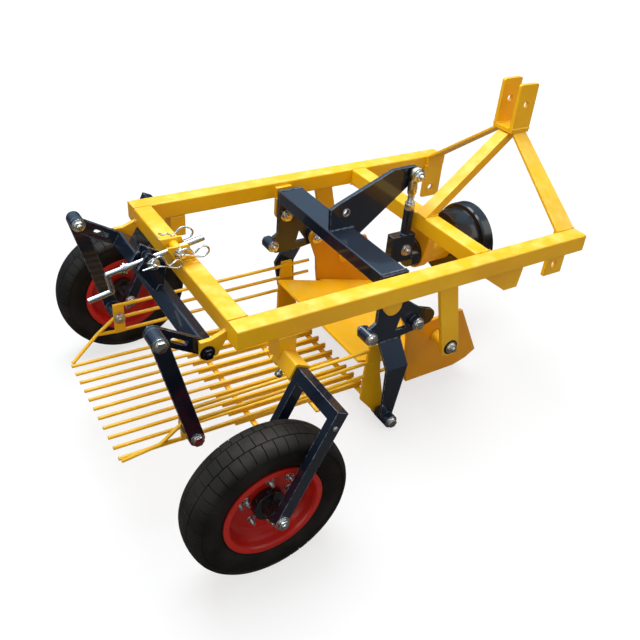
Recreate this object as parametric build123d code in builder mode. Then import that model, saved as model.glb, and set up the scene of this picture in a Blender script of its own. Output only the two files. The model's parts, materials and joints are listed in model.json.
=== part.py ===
"""A tractor-mounted potato harvester: a frame on two land wheels that carries a shaking share and sieve."""

from build123d import *
from math import asin, atan2, cos, degrees, hypot, sin
import os

os.makedirs("parts", exist_ok=True)

# Lengths are millimetres. In the machine's own axes x runs forward from the frame's rear face,
# y runs left from the centre line and z runs up from the top of the frame.
# Main frame of square tube
TUBE = 50
TUBE_CORNER = 5
FRAME_LENGTH = 1085
FRAME_WIDTH = 690
FRONT_BAR_X = 716

# Land wheels
TYRE_R = 200
TYRE_WIDTH = 100
AXLE_X = 2
AXLE_Z = -367
WHEEL_Y = 490
AXLE_R = 10
RIM_SEAT_R = 113
RIM_FLANGE_R = 124
RIM_HALF_WIDTH = 45
RIM_SHEET = 5
RIM_DISC = (5, 84)
HUB_R = 38
HUB_HALF_LENGTH = 27
HUB_BOSS_R = 20

# Wheel forks and the sleeves that hold them under the frame
FORK_TUBE = 30
FORK_LEG_THICK = 20
FORK_INNER_LEG_Y = 413
FORK_OUTER_LEG_Y = 560
FORK_TOP = (126, -112)
SLEEVE_WALL = 6
SLEEVE_INNER_Y = 320
SLEEVE_OUTER_Y = 402
SLEEVE_POST = (44, 50)

# Three-point hitch
CLEVIS_X = 1062
CLEVIS_PLATE = (68, 12)
CLEVIS_GAP = 54
CLEVIS_BASE_Z = 205
CLEVIS_BASE_THICK = 12
CLEVIS_TOP_Z = 334
TOP_PIN_Z = 276
TOP_PIN_BORE_R = 9.75
STAY = (50, 12)
STAY_FOOT_LENGTH = 68
STAY_FOOT_Z = -30
BRACE = (40, 26)
BRACE_FOOT = (741, -55)
LOWER_PLATE_THICK = 12
LOWER_PLATE_LENGTH = 70
LOWER_PLATE_DROP = 145
LOWER_PIN = (1047, -112)
LOWER_PIN_BORE_R = 11.2

# Rocker that the crank swings
ROCKER_TUBE = (80, 40)
ROCKER_TUBE_X = 475
ROCKER_TUBE_Z = -34
ROCKER_PIVOT = (463, -96)
ROCKER_PLATE_Y = 267
ROCKER_PLATE_THICK = 10
ROCKER_PLATE_BOTTOM = -222
ROCKER_REAR_EYE = (413, -188)
ROCKER_FRONT_EYE = (564, -184)
ROCKER_NOSE = (606, -182)
ROCKER_NOSE_R = 25
ROCKER_WINDOW = ((502, -196), (538, -196), (512, -158))
EYE_R = 19
EYE_LENGTH = 40
SIDE_GAP = 6
PIVOT_R = 10
BOLT_R = 8
BOLT_HEAD = (13, 9)
LUG_THICK = 12
LUG_R = 26
LEVER_THICK = 12
LEVER_Y = -9
LEVER_PIN = (704, 115)
LEVER_TIP_R = 20
LEVER_HOLE = (487, 34)

# Hanger arms under the rocker that carry the sieve's front
HANGER_THICK = 8
HANGER_WIDTH = 70
HANGER_X = 487
HANGER_BEND = (312, -292)
HANGER_FOOT = (503, -490)
HANGER_FOOT_Y = 286
HANGER_FOOT_R = 20
HANGER_FOOT_LENGTH = 56

# Share and the legs it swings on
LEG_WIDTH = 60
LEG_THICK = 12
LEG_Y = 309
LEG_TOP_X = 619
SHARE_PIVOT = (674, -278)
SHARE_SIDE_Y = 245
SHARE_SIDE_THICK = 10
SHARE_BLADE_THICK = 8
SHARE_BLADE_REAR = (425, -300)
SHARE_TAIL_Y = 230
SHARE_TAIL_LENGTH = 172
SHARE_BLADE_FRONT = (852, -417)
SHARE_POINT = 40
SHARE_EAR_R = 24
SHARE_HOLE = (740, -268)
SHARE_HOLE_R = 6

# Crank drive
SHAFT_Z = -152
SHAFT_R = 17.4
SHAFT_FRONT_X = 955
SPLINE_LENGTH = 75
SPLINE_DEPTH = 2.8
CRANK_DISC = (42, 14)
CRANK_DISC_REAR_X = 753
CRANK_GAP = 5
STRAP = (35, 30)
PITMAN_Y = -29
PITMAN_TUBE_R = 15
PITMAN_TUBE_TOP_Z = 14
PITMAN_TUBE_X = 694
PITMAN_BLOCK = (80, 30, 86)
PITMAN_BLOCK_X = 681
PITMAN_BLOCK_Z = -107
ROD_R = 8
ROD_END_R = 19
ROD_END_WIDTH = 16
ROD_NUT = (15, 12)
BEARING_R = 46
BEARING_LENGTH = 98
BEARING_REAR_X = 774
BEARING_PLATE = (130, 10)
GUARD_R = 100
GUARD_LIP_R = 114
GUARD_LIP_LENGTH = 36
GUARD_FRONT_X = 981
GUARD_SHEET = 3

# Sieve
ROD_COUNT = 11
ROD_PITCH = 39.5
SIEVE_ROD_R = 5
SIEVE_TAIL = (-240, -395)
SIEVE_FRONT = (468, -414)
SIEVE_SIDE_Y = 245
SIEVE_SIDE_THICK = 8
SIEVE_GUARD_Z = (-264, -305, -350)
SIEVE_GUARD_FRONT_X = 544
SIEVE_DOUBLE_X = 70
SIEVE_DOUBLE_DROP = 9
SIEVE_CROSS = (14, 6)
SIEVE_CROSS_X = (120, 300, 455)
SIEVE_LUG_WIDTH = 30
SIEVE_PLATE = (444, 36)
SIEVE_KNEE = (-150, -345)
REAR_PIN = (-83, -303)

# Rear tilt frame with the rear links and its adjusting screw
TILT_TUBE = 40
TILT_PIVOT = (-46, -74)
TILT_ARM_Y = 267
TILT_ARM_THICK = 10
TILT_ARM_WIDTH = 38
TILT_ARM_SLOT = (44, 11)
TILT_PIN = (-158, -5)
TILT_LUG_Y = 286
LINK_THICK = 10
LINK_WIDTH = 38
LINK_Y = 306
SCREW_R = 7
SCREW_START = (-168, -6)
SCREW_END = (76, 40)
CRANK_THROW = 48
CRANK_HANDLE = 58
CLEVIS_EYE_X = -64
CLEVIS_EAR_Y = 23
CLEVIS_EAR_THICK = 7
TRUNNION_X = 4
TRUNNION_R = 12
GUSSET = (10, 50, 8)

# Clearances
RUNNING = 0.05
WELD = 0.1
OPEN_PIVOT = 2
BEAD_GAP = 0.1

HANDS = (("right", -1), ("left", 1))


def unit(start, end):
    """Direction from one (x, z) point to another, and its length."""
    run, rise = end[0] - start[0], end[1] - start[1]
    length = hypot(run, rise)
    return run / length, rise / length, length


# The machine parks on its wheels and on the hanger arms' feet, so it leans forward a little.
FOOT_RUN, FOOT_RISE, FOOT_SPAN = unit((AXLE_X, AXLE_Z), HANGER_FOOT)
LEAN = asin((TYRE_R - HANGER_FOOT_R) / FOOT_SPAN) + atan2(FOOT_RISE, FOOT_RUN)
GROUND = TYRE_R + AXLE_X * sin(LEAN) - AXLE_Z * cos(LEAN)
REAR_TIP = SIEVE_TAIL[0] * cos(LEAN) + SIEVE_TAIL[1] * sin(LEAN)
FRONT_TIP = (CLEVIS_X + CLEVIS_PLATE[0] / 2) * cos(LEAN) + CLEVIS_TOP_Z * sin(LEAN)
MACHINE = Plane(
    origin=(-(REAR_TIP + FRONT_TIP) / 2, 0, GROUND),
    x_dir=(cos(LEAN), 0, -sin(LEAN)),
    z_dir=(sin(LEAN), 0, cos(LEAN)),
)


def at(x, y, z):
    """A point of the machine's own axes, in the part's frame."""
    return MACHINE.from_local_coords(Vector(x, y, z))


def side(y):
    """Sketch plane at one y: sketches are (x, z), and extrusions go right."""
    return Plane(origin=at(0, y, 0), x_dir=MACHINE.x_dir, z_dir=-MACHINE.y_dir)


def across(x):
    """Sketch plane at one x: sketches are (y, z), and extrusions go forward."""
    return Plane(origin=at(x, 0, 0), x_dir=MACHINE.y_dir, z_dir=MACHINE.x_dir)


def level(z):
    """Sketch plane at one height: sketches are (x, y), and extrusions go up."""
    return Plane(origin=at(0, 0, z), x_dir=MACHINE.x_dir, z_dir=MACHINE.z_dir)


def toward(start, end, across_dir):
    """Sketch plane at start, facing end, with its sketch x near across_dir."""
    forward = end - start
    return Plane(origin=start, x_dir=forward.cross(across_dir).cross(forward), z_dir=forward)


def save(part, label):
    """Label a finished piece and write it."""
    part.label = label
    export_step(part, f"parts/{label}.step")


def rod(centre, y_from, y_to, radius):
    """Add a round bar along y between two y values."""
    with BuildSketch(side(y_from)) as section:
        with Locations(centre):
            Circle(radius)
    extrude(section.sketch, amount=y_from - y_to)


def hole(centre, y, depth, radius):
    """Cut a round hole along y, centred on y."""
    with BuildSketch(side(y)) as section:
        with Locations(centre):
            Circle(radius)
    extrude(section.sketch, amount=depth, both=True, mode=Mode.SUBTRACT)


def bolt(centre, y_head, y_tip, radius=BOLT_R):
    """Add a bolt along y: a shank with a hexagon head past y_head."""
    outward = 1 if y_head > y_tip else -1
    rod(centre, y_head, y_tip, radius)
    with BuildSketch(side(y_head)) as head:
        with Locations(centre):
            RegularPolygon(BOLT_HEAD[0], 6)
    extrude(head.sketch, amount=-outward * BOLT_HEAD[1])


def straight_bar(start, end, radius, mode=Mode.ADD):
    """Add or cut a round bar between two points."""
    with BuildSketch(Plane(origin=start, z_dir=end - start)) as section:
        Circle(radius)
    extrude(section.sketch, amount=(end - start).length, mode=mode)


# Main frame
def side_rail(sign):
    with BuildPart() as rail:
        with BuildSketch(across(0)):
            with Locations((sign * (FRAME_WIDTH - TUBE) / 2, -TUBE / 2)):
                RectangleRounded(TUBE, TUBE, TUBE_CORNER)
        extrude(amount=FRAME_LENGTH)
    return rail.part


def crossbar(rear_x):
    with BuildPart() as bar:
        with BuildSketch(side(0)):
            with Locations((rear_x + TUBE / 2, -TUBE / 2)):
                RectangleRounded(TUBE, TUBE, TUBE_CORNER)
        extrude(amount=FRAME_WIDTH / 2 - TUBE, both=True)
    return bar.part


# Hitch
def top_link_clevis():
    length, thick = CLEVIS_PLATE
    with BuildPart() as clevis:
        with BuildSketch(level(CLEVIS_BASE_Z)):
            with Locations((CLEVIS_X, 0)):
                Rectangle(length, CLEVIS_GAP + 2 * thick)
        extrude(amount=-CLEVIS_BASE_THICK)
        for sign in (-1, 1):
            with BuildSketch(side(sign * (CLEVIS_GAP + thick) / 2)):
                with Locations((CLEVIS_X, (CLEVIS_BASE_Z + CLEVIS_TOP_Z) / 2)):
                    RectangleRounded(length, CLEVIS_TOP_Z - CLEVIS_BASE_Z, 6)
                with Locations((CLEVIS_X, CLEVIS_BASE_Z + TUBE_CORNER)):
                    Rectangle(length, 2 * TUBE_CORNER)
                with Locations((CLEVIS_X, TOP_PIN_Z)):
                    Circle(TOP_PIN_BORE_R, mode=Mode.SUBTRACT)
            extrude(amount=thick / 2, both=True)
    return clevis.part


def hitch_stay(sign):
    """Flat bar from the clevis base down to the inner side of a rail, wider at its foot."""
    width, thick = STAY
    top_y = CLEVIS_GAP / 2 + CLEVIS_PLATE[1] - thick
    foot_y = FRAME_WIDTH / 2 - TUBE - thick - WELD
    top_z = CLEVIS_BASE_Z - CLEVIS_BASE_THICK - WELD
    front = CLEVIS_X + width / 2
    with BuildPart() as stay:
        with BuildSketch(across(front)):
            with BuildLine():
                Polyline(
                    (sign * top_y, top_z),
                    (sign * (top_y + thick), top_z),
                    (sign * (foot_y + thick), 0),
                    (sign * (foot_y + thick), STAY_FOOT_Z),
                    (sign * foot_y, STAY_FOOT_Z),
                    (sign * foot_y, 0),
                    close=True,
                )
            make_face()
        extrude(amount=-STAY_FOOT_LENGTH)
        with BuildSketch(side(0)):
            with BuildLine():
                Polyline(
                    (front - width, top_z),
                    (front, top_z),
                    (front, STAY_FOOT_Z),
                    (front - STAY_FOOT_LENGTH, STAY_FOOT_Z),
                    (front - STAY_FOOT_LENGTH, 0),
                    close=True,
                )
            make_face()
        extrude(amount=FRAME_WIDTH, both=True, mode=Mode.INTERSECT)
    return stay.part


def centre_brace():
    """Bar from the clevis base back to the top of the front crossbar, right of its middle."""
    width, thick = BRACE
    top = at(CLEVIS_X - STAY[0] / 2 + thick, 0, CLEVIS_BASE_Z - CLEVIS_BASE_THICK)
    foot = at(BRACE_FOOT[0], BRACE_FOOT[1], 0)
    overrun = (top - foot).normalized() * width
    with BuildPart() as brace:
        with BuildSketch(toward(foot - overrun, top, MACHINE.y_dir)):
            Rectangle(width, thick)
        extrude(amount=(top - foot).length + 2 * width)
        with BuildSketch(side(0)):
            with BuildLine():
                Polyline(
                    (0, WELD),
                    (0, CLEVIS_BASE_Z - CLEVIS_BASE_THICK - WELD),
                    (FRAME_LENGTH, CLEVIS_BASE_Z - CLEVIS_BASE_THICK - WELD),
                    (FRAME_LENGTH, WELD),
                    close=True,
                )
            make_face()
        extrude(amount=FRAME_WIDTH, both=True, mode=Mode.INTERSECT)
    return brace.part


def lower_link_plate(sign):
    """Plate for a lower link, welded to the rail's inner side behind the stay."""
    y = sign * (FRAME_WIDTH / 2 - TUBE - WELD - LOWER_PLATE_THICK / 2)
    front = FRAME_LENGTH
    with BuildPart() as plate:
        with BuildSketch(side(y)):
            with BuildLine():
                Polyline(
                    (front - LOWER_PLATE_LENGTH, STAY_FOOT_Z - WELD),
                    (front, STAY_FOOT_Z - WELD),
                    (front, -LOWER_PLATE_DROP),
                    (front - LOWER_PLATE_LENGTH, -LOWER_PLATE_DROP),
                    close=True,
                )
            make_face()
            with Locations(LOWER_PIN):
                Circle(LOWER_PIN_BORE_R, mode=Mode.SUBTRACT)
        extrude(amount=LOWER_PLATE_THICK / 2, both=True)
    return plate.part


def rail_gusset(sign):
    """Plate under the rail's front part, with a flange at its bottom edge."""
    thick, flange_length, flange_thick = GUSSET
    inner = FRAME_WIDTH / 2 - TUBE
    with BuildPart() as gusset:
        with BuildSketch(side(sign * (inner + thick / 2))):
            with BuildLine():
                Polyline(
                    (716, -TUBE - WELD),
                    (847, -143),
                    (896, -143),
                    (908, -TUBE - WELD),
                    close=True,
                )
            make_face()
        extrude(amount=thick / 2, both=True)
        with BuildSketch(level(-143)):
            with Locations((871.5, sign * (inner - flange_length / 2 + thick / 2))):
                Rectangle(49, flange_length)
        extrude(amount=flange_thick)
    return gusset.part


# Rocker
def rocker_lug(sign):
    """Lug on the rail's inner side, with the pin that the rocker swings on."""
    y = sign * (FRAME_WIDTH / 2 - TUBE - WELD - LUG_THICK / 2)
    with BuildPart() as lug:
        with BuildSketch(side(y)):
            with Locations((ROCKER_PIVOT[0], -TUBE / 2)):
                Rectangle(2 * LUG_R, TUBE / 2)
            with Locations(ROCKER_PIVOT):
                Circle(LUG_R)
            make_hull()
        extrude(amount=LUG_THICK / 2, both=True)
        plate_inner = ROCKER_PLATE_Y - ROCKER_PLATE_THICK / 2
        rod(ROCKER_PIVOT, y, sign * (plate_inner - 1), PIVOT_R)
        rod(ROCKER_PIVOT, sign * (plate_inner - 1), sign * (plate_inner - 13), PIVOT_R * 1.5)
    return lug.part


def rocker_tube():
    length, height = ROCKER_TUBE
    with BuildPart() as tube:
        with BuildSketch(side(0)):
            with Locations((ROCKER_TUBE_X, ROCKER_TUBE_Z)):
                RectangleRounded(length, height, TUBE_CORNER)
        extrude(amount=ROCKER_PLATE_Y - ROCKER_PLATE_THICK / 2 - WELD, both=True)
    return tube.part


def rocker_plate(sign):
    """End plate with its pivot bore and the two bolted bushes."""
    length, height = ROCKER_TUBE
    back, front = ROCKER_TUBE_X - length / 2, ROCKER_TUBE_X + length / 2
    top = ROCKER_TUBE_Z + height / 2
    rear_eye, front_eye = ROCKER_REAR_EYE, ROCKER_FRONT_EYE
    nose_x, nose_z = ROCKER_NOSE
    y = sign * ROCKER_PLATE_Y
    with BuildPart() as plate:
        with BuildSketch(side(y)):
            with BuildLine():
                Polyline(
                    (back, top),
                    (front, top),
                    (front, ROCKER_TUBE_Z - height / 2 - 45),
                    (front_eye[0] + 12, front_eye[1] + 40),
                    (nose_x + 8, nose_z + ROCKER_NOSE_R * 0.95),
                    (nose_x, ROCKER_PLATE_BOTTOM + 14),
                    (front, ROCKER_PLATE_BOTTOM),
                    (back - 6, ROCKER_PLATE_BOTTOM),
                    (rear_eye[0], rear_eye[1] - EYE_R),
                    (rear_eye[0], rear_eye[1] + EYE_R),
                    (back, rear_eye[1] + EYE_R + 14),
                    close=True,
                )
            make_face()
            with Locations(ROCKER_NOSE):
                Circle(ROCKER_NOSE_R)
            with BuildLine():
                Polyline(*ROCKER_WINDOW, close=True)
            make_face(mode=Mode.SUBTRACT)
            with Locations(ROCKER_PIVOT):
                Circle(PIVOT_R + RUNNING, mode=Mode.SUBTRACT)
        extrude(amount=ROCKER_PLATE_THICK / 2, both=True)
        outer = y + sign * EYE_LENGTH / 2
        share_outer = sign * (SHARE_SIDE_Y + SHARE_SIDE_THICK / 2)
        share_inner = sign * (SHARE_SIDE_Y - SHARE_SIDE_THICK / 2)
        rod(rear_eye, outer, y - sign * EYE_LENGTH / 2, EYE_R)
        bolt(rear_eye, outer, y)
        bolt(rear_eye, y - sign * EYE_LENGTH / 2, y)
        rod(front_eye, outer, share_outer + sign * SIDE_GAP, EYE_R)
        bolt(front_eye, outer, share_inner - sign * SIDE_GAP)
        bolt(front_eye, share_inner - sign * SIDE_GAP, share_inner)
    return plate.part


def rocker_lever():
    """Tapered lever plate from the rocker tube up to the connecting rod's pin."""
    length, height = ROCKER_TUBE
    tube_top = ROCKER_TUBE_Z + height / 2 + WELD
    tube_front = ROCKER_TUBE_X + length / 2 + WELD
    tip_x, tip_z = LEVER_PIN
    with BuildPart() as lever:
        with BuildSketch(side(LEVER_Y)):
            with BuildLine():
                Polyline(
                    (440, tube_top),
                    (tube_front, tube_top),
                    (tube_front, tube_top - 26),
                    (tube_front + 24, tube_top - 26),
                    (tip_x + 12, tip_z - LEVER_TIP_R * 0.8),
                    (tip_x, tip_z + LEVER_TIP_R),
                    (634, 134),
                    (464, 64),
                    (436, 50),
                    close=True,
                )
            make_face()
            with Locations(LEVER_PIN):
                Circle(LEVER_TIP_R)
            with Locations(LEVER_HOLE):
                Circle(9, mode=Mode.SUBTRACT)
        extrude(amount=LEVER_THICK / 2, both=True)
        pin_tip = PITMAN_Y - ROD_END_WIDTH / 2 - 1
        rod(LEVER_PIN, LEVER_Y, pin_tip, BOLT_R)
        bolt(LEVER_PIN, pin_tip, LEVER_Y)
    return lever.part


def hanger_arm(sign):
    """Bent flat arm from the end plate down to the sieve's front pivot."""
    half = HANGER_THICK / 2
    bend_y, bend_z = HANGER_BEND
    top_z = ROCKER_PLATE_BOTTOM - WELD
    with BuildPart() as arm:
        with BuildSketch(across(HANGER_X - HANGER_WIDTH)):
            with BuildLine():
                Polyline(
                    (sign * (ROCKER_PLATE_Y - half), top_z),
                    (sign * (ROCKER_PLATE_Y + half), top_z),
                    (sign * (bend_y + half), bend_z + half),
                    (sign * (HANGER_FOOT_Y + half), HANGER_FOOT[1]),
                    (sign * (HANGER_FOOT_Y + half), HANGER_FOOT[1] - HANGER_FOOT_R),
                    (sign * (HANGER_FOOT_Y - half), HANGER_FOOT[1] - HANGER_FOOT_R),
                    (sign * (HANGER_FOOT_Y - half), HANGER_FOOT[1]),
                    (sign * (bend_y - half), bend_z),
                    close=True,
                )
            make_face()
        extrude(amount=2 * HANGER_WIDTH)
        with BuildSketch(side(sign * HANGER_FOOT_Y)):
            with BuildLine():
                Polyline(
                    (HANGER_X - HANGER_WIDTH / 2, top_z),
                    (HANGER_X + HANGER_WIDTH / 2, top_z),
                    (HANGER_X + HANGER_WIDTH / 2 + 4, bend_z),
                    (HANGER_FOOT[0] + HANGER_FOOT_R, HANGER_FOOT[1]),
                    (HANGER_FOOT[0] - HANGER_FOOT_R, HANGER_FOOT[1]),
                    (HANGER_X - HANGER_WIDTH / 2 + 4, bend_z),
                    close=True,
                )
            make_face()
            with Locations(HANGER_FOOT):
                Circle(HANGER_FOOT_R)
        extrude(amount=FRAME_WIDTH, both=True, mode=Mode.INTERSECT)
        with BuildSketch(side(sign * HANGER_FOOT_Y)):
            with Locations(HANGER_FOOT):
                Circle(HANGER_FOOT_R)
        extrude(amount=HANGER_FOOT_LENGTH / 2, both=True)
        outer = sign * (HANGER_FOOT_Y + HANGER_FOOT_LENGTH / 2)
        inner = sign * (SIEVE_SIDE_Y - SIEVE_SIDE_THICK / 2 - 1)
        bolt(HANGER_FOOT, outer, inner)
        rod(HANGER_FOOT, inner, inner - sign * BOLT_HEAD[1], BOLT_HEAD[0])
    return arm.part


# Share
def share_leg(sign):
    """Flat leg under the rail with the pin that the share swings on."""
    pivot_x, pivot_z = SHARE_PIVOT
    y = sign * LEG_Y
    with BuildPart() as leg:
        with BuildSketch(side(y)):
            with BuildLine():
                Polyline(
                    (LEG_TOP_X - LEG_WIDTH / 2, -TUBE - WELD),
                    (LEG_TOP_X + LEG_WIDTH / 2, -TUBE - WELD),
                    (pivot_x + LEG_WIDTH / 2, pivot_z),
                    (pivot_x - LEG_WIDTH / 2, pivot_z),
                    close=True,
                )
            make_face()
            with Locations(SHARE_PIVOT):
                Circle(LEG_WIDTH / 2)
        extrude(amount=LEG_THICK / 2, both=True)
        side_inner = SHARE_SIDE_Y - SHARE_SIDE_THICK / 2
        spacer = sign * (SHARE_SIDE_Y + SHARE_SIDE_THICK / 2 + 1)
        bolt(SHARE_PIVOT, y + sign * LEG_THICK / 2, y, PIVOT_R)
        rod(SHARE_PIVOT, y, spacer, PIVOT_R * 1.8)
        rod(SHARE_PIVOT, spacer, sign * (side_inner - 1), PIVOT_R)
        rod(SHARE_PIVOT, sign * (side_inner - 1), sign * (side_inner - 11), PIVOT_R * 1.6)
    return leg.part


def share_side(sign):
    """Side plate of the share, from the rocker's eye to the skid edge."""
    ear_x, ear_z = ROCKER_FRONT_EYE
    with BuildPart() as plate:
        with BuildSketch(side(sign * SHARE_SIDE_Y)):
            with BuildLine():
                Polyline(
                    (ear_x + 28, SHARE_BLADE_FRONT[1] - SHARE_BLADE_THICK / 2),
                    (770, SHARE_BLADE_FRONT[1] - SHARE_BLADE_THICK / 2),
                    (816, -408),
                    (850, -386),
                    (761, -218),
                    (ear_x + 72, -222),
                    (ear_x + SHARE_EAR_R, ear_z),
                    (ear_x - SHARE_EAR_R, ear_z),
                    (ear_x + 6, -262),
                    (ear_x + 10, -306),
                    close=True,
                )
            make_face()
            with Locations(ROCKER_FRONT_EYE):
                Circle(SHARE_EAR_R)
            with Locations(ROCKER_FRONT_EYE):
                Circle(BOLT_R + OPEN_PIVOT, mode=Mode.SUBTRACT)
            with Locations(SHARE_PIVOT):
                Circle(PIVOT_R + RUNNING, mode=Mode.SUBTRACT)
            with Locations(SHARE_HOLE):
                Circle(SHARE_HOLE_R, mode=Mode.SUBTRACT)
        extrude(amount=SHARE_SIDE_THICK / 2, both=True)
    return plate.part


def share_blade():
    """Flat share between the side plates, pointed at the front."""
    half_width = SHARE_SIDE_Y - SHARE_SIDE_THICK / 2 - WELD
    rear, front = SHARE_BLADE_REAR, SHARE_BLADE_FRONT
    run, rise, length = unit(rear, front)
    deck = Plane(
        origin=at(rear[0], 0, rear[1]),
        x_dir=at(front[0], 0, front[1]) - at(rear[0], 0, rear[1]),
        z_dir=at(rear[0] - rise, 0, rear[1] + run) - at(rear[0], 0, rear[1]),
    )
    with BuildPart() as blade:
        with BuildSketch(deck):
            with BuildLine():
                Polyline(
                    (0, -SHARE_TAIL_Y),
                    (SHARE_TAIL_LENGTH, -SHARE_TAIL_Y),
                    (SHARE_TAIL_LENGTH, -half_width),
                    (length - SHARE_POINT, -half_width),
                    (length + SHARE_POINT, 0),
                    (length - SHARE_POINT, half_width),
                    (SHARE_TAIL_LENGTH, half_width),
                    (SHARE_TAIL_LENGTH, SHARE_TAIL_Y),
                    (0, SHARE_TAIL_Y),
                    close=True,
                )
            make_face()
        extrude(amount=-SHARE_BLADE_THICK)
    return blade.part


# Crank drive
def bearing_mount():
    """Bearing housing for the input shaft on a plate under the front crossbar."""
    width, thick = BEARING_PLATE
    plate_x = FRONT_BAR_X + TUBE - thick
    with BuildPart() as mount:
        with BuildSketch(across(plate_x)):
            with Locations((0, -TUBE - WELD - 20)):
                Rectangle(width, 40)
            with Locations((0, SHAFT_Z)):
                Circle(BEARING_R + 6)
            make_hull()
        extrude(amount=BEARING_REAR_X + thick - plate_x)
        with BuildSketch(across(CRANK_DISC_REAR_X - 20)):
            with Locations((0, SHAFT_Z)):
                Circle(CRANK_DISC[0] + CRANK_GAP)
        extrude(amount=BEARING_REAR_X - CRANK_DISC_REAR_X + 20, mode=Mode.SUBTRACT)
        with BuildSketch(across(BEARING_REAR_X)):
            with Locations((0, SHAFT_Z)):
                Circle(BEARING_R)
        extrude(amount=BEARING_LENGTH)
        with BuildSketch(across(BEARING_REAR_X)):
            with Locations((0, SHAFT_Z)):
                Circle(SHAFT_R + RUNNING)
        extrude(amount=BEARING_LENGTH, mode=Mode.SUBTRACT)
    return mount.part


def input_shaft():
    """Splined input shaft with the crank disc at its rear end."""
    disc_r, disc_thick = CRANK_DISC
    with BuildPart() as shaft:
        with BuildSketch(across(CRANK_DISC_REAR_X)):
            with Locations((0, SHAFT_Z)):
                Circle(disc_r)
        extrude(amount=disc_thick)
        with BuildSketch(across(CRANK_DISC_REAR_X)):
            with Locations((0, SHAFT_Z)):
                Circle(SHAFT_R)
        extrude(amount=SHAFT_FRONT_X - CRANK_DISC_REAR_X)
        with BuildSketch(across(SHAFT_FRONT_X - SPLINE_LENGTH)):
            with Locations((0, SHAFT_Z)):
                with PolarLocations(SHAFT_R, 6):
                    Rectangle(2 * SPLINE_DEPTH, SHAFT_R / 2)
        extrude(amount=SPLINE_LENGTH, mode=Mode.SUBTRACT)
    return shaft.part


def shaft_guard():
    """Drum guard round the input shaft, with a wider lip at its mouth."""
    rear_x = BEARING_REAR_X + BEARING_LENGTH + WELD
    lip_x = GUARD_FRONT_X - GUARD_LIP_LENGTH
    axis = Axis(at(0, 0, SHAFT_Z), MACHINE.x_dir)
    top = SHAFT_Z
    with BuildPart() as guard:
        with BuildSketch(side(0)):
            with BuildLine():
                Polyline(
                    (rear_x, top + SHAFT_R + 6),
                    (rear_x, top + GUARD_R),
                    (lip_x - 4, top + GUARD_R),
                    (lip_x, top + GUARD_LIP_R - 3),
                    (lip_x + 6, top + GUARD_LIP_R),
                    (GUARD_FRONT_X, top + GUARD_LIP_R),
                    (GUARD_FRONT_X, top + GUARD_LIP_R - GUARD_SHEET),
                    (lip_x + 6, top + GUARD_LIP_R - GUARD_SHEET),
                    (lip_x, top + GUARD_R - GUARD_SHEET),
                    (rear_x + GUARD_SHEET, top + GUARD_R - GUARD_SHEET),
                    (rear_x + GUARD_SHEET, top + SHAFT_R + 6),
                    close=True,
                )
            make_face()
        revolve(axis=axis)
    return guard.part


def pitman():
    """Connecting rod: strap round the crank pin, block, tube and threaded rod."""
    strap_r, strap_length = STRAP
    block_x, block_y, block_z = PITMAN_BLOCK
    strap_front = CRANK_DISC_REAR_X - CRANK_GAP
    with BuildPart() as arm:
        with BuildSketch(level(PITMAN_BLOCK_Z - block_z / 2)):
            with Locations((PITMAN_BLOCK_X, PITMAN_Y)):
                RectangleRounded(block_x, block_y, 3)
        extrude(amount=block_z)
        with BuildSketch(across(strap_front - strap_length)):
            with Locations((PITMAN_Y / 2, SHAFT_Z)):
                Circle(strap_r)
        extrude(amount=strap_length)
        with BuildSketch(level(PITMAN_BLOCK_Z)):
            with Locations((PITMAN_TUBE_X, PITMAN_Y)):
                Circle(PITMAN_TUBE_R)
        extrude(amount=PITMAN_TUBE_TOP_Z - PITMAN_BLOCK_Z)
        bolt((PITMAN_BLOCK_X + 12, PITMAN_BLOCK_Z - 6), PITMAN_Y - block_y / 2, PITMAN_Y)
    return arm.part


def rod_end():
    """Plated rod with its lock nut and the eye on the lever's pin."""
    with BuildPart() as eye:
        with BuildSketch(side(PITMAN_Y)):
            with Locations(LEVER_PIN):
                Circle(ROD_END_R)
        extrude(amount=ROD_END_WIDTH / 2, both=True)
        with BuildSketch(level(PITMAN_TUBE_TOP_Z + WELD)):
            with Locations((PITMAN_TUBE_X, PITMAN_Y)):
                Circle(ROD_R)
        extrude(amount=LEVER_PIN[1] - 1.5 * BOLT_R - PITMAN_TUBE_TOP_Z - WELD)
        with BuildSketch(level(PITMAN_TUBE_TOP_Z + WELD)):
            with Locations((PITMAN_TUBE_X, PITMAN_Y)):
                RegularPolygon(ROD_NUT[0], 6)
        extrude(amount=ROD_NUT[1])
        hole(LEVER_PIN, PITMAN_Y, ROD_END_WIDTH, BOLT_R + RUNNING)
    return eye.part


# Sieve
def sieve_height(x):
    """Height of the rods' centre line at x."""
    (tail_x, tail_z), (front_x, front_z) = SIEVE_TAIL, SIEVE_FRONT
    return tail_z + (front_z - tail_z) * (x - tail_x) / (front_x - tail_x)


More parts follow.
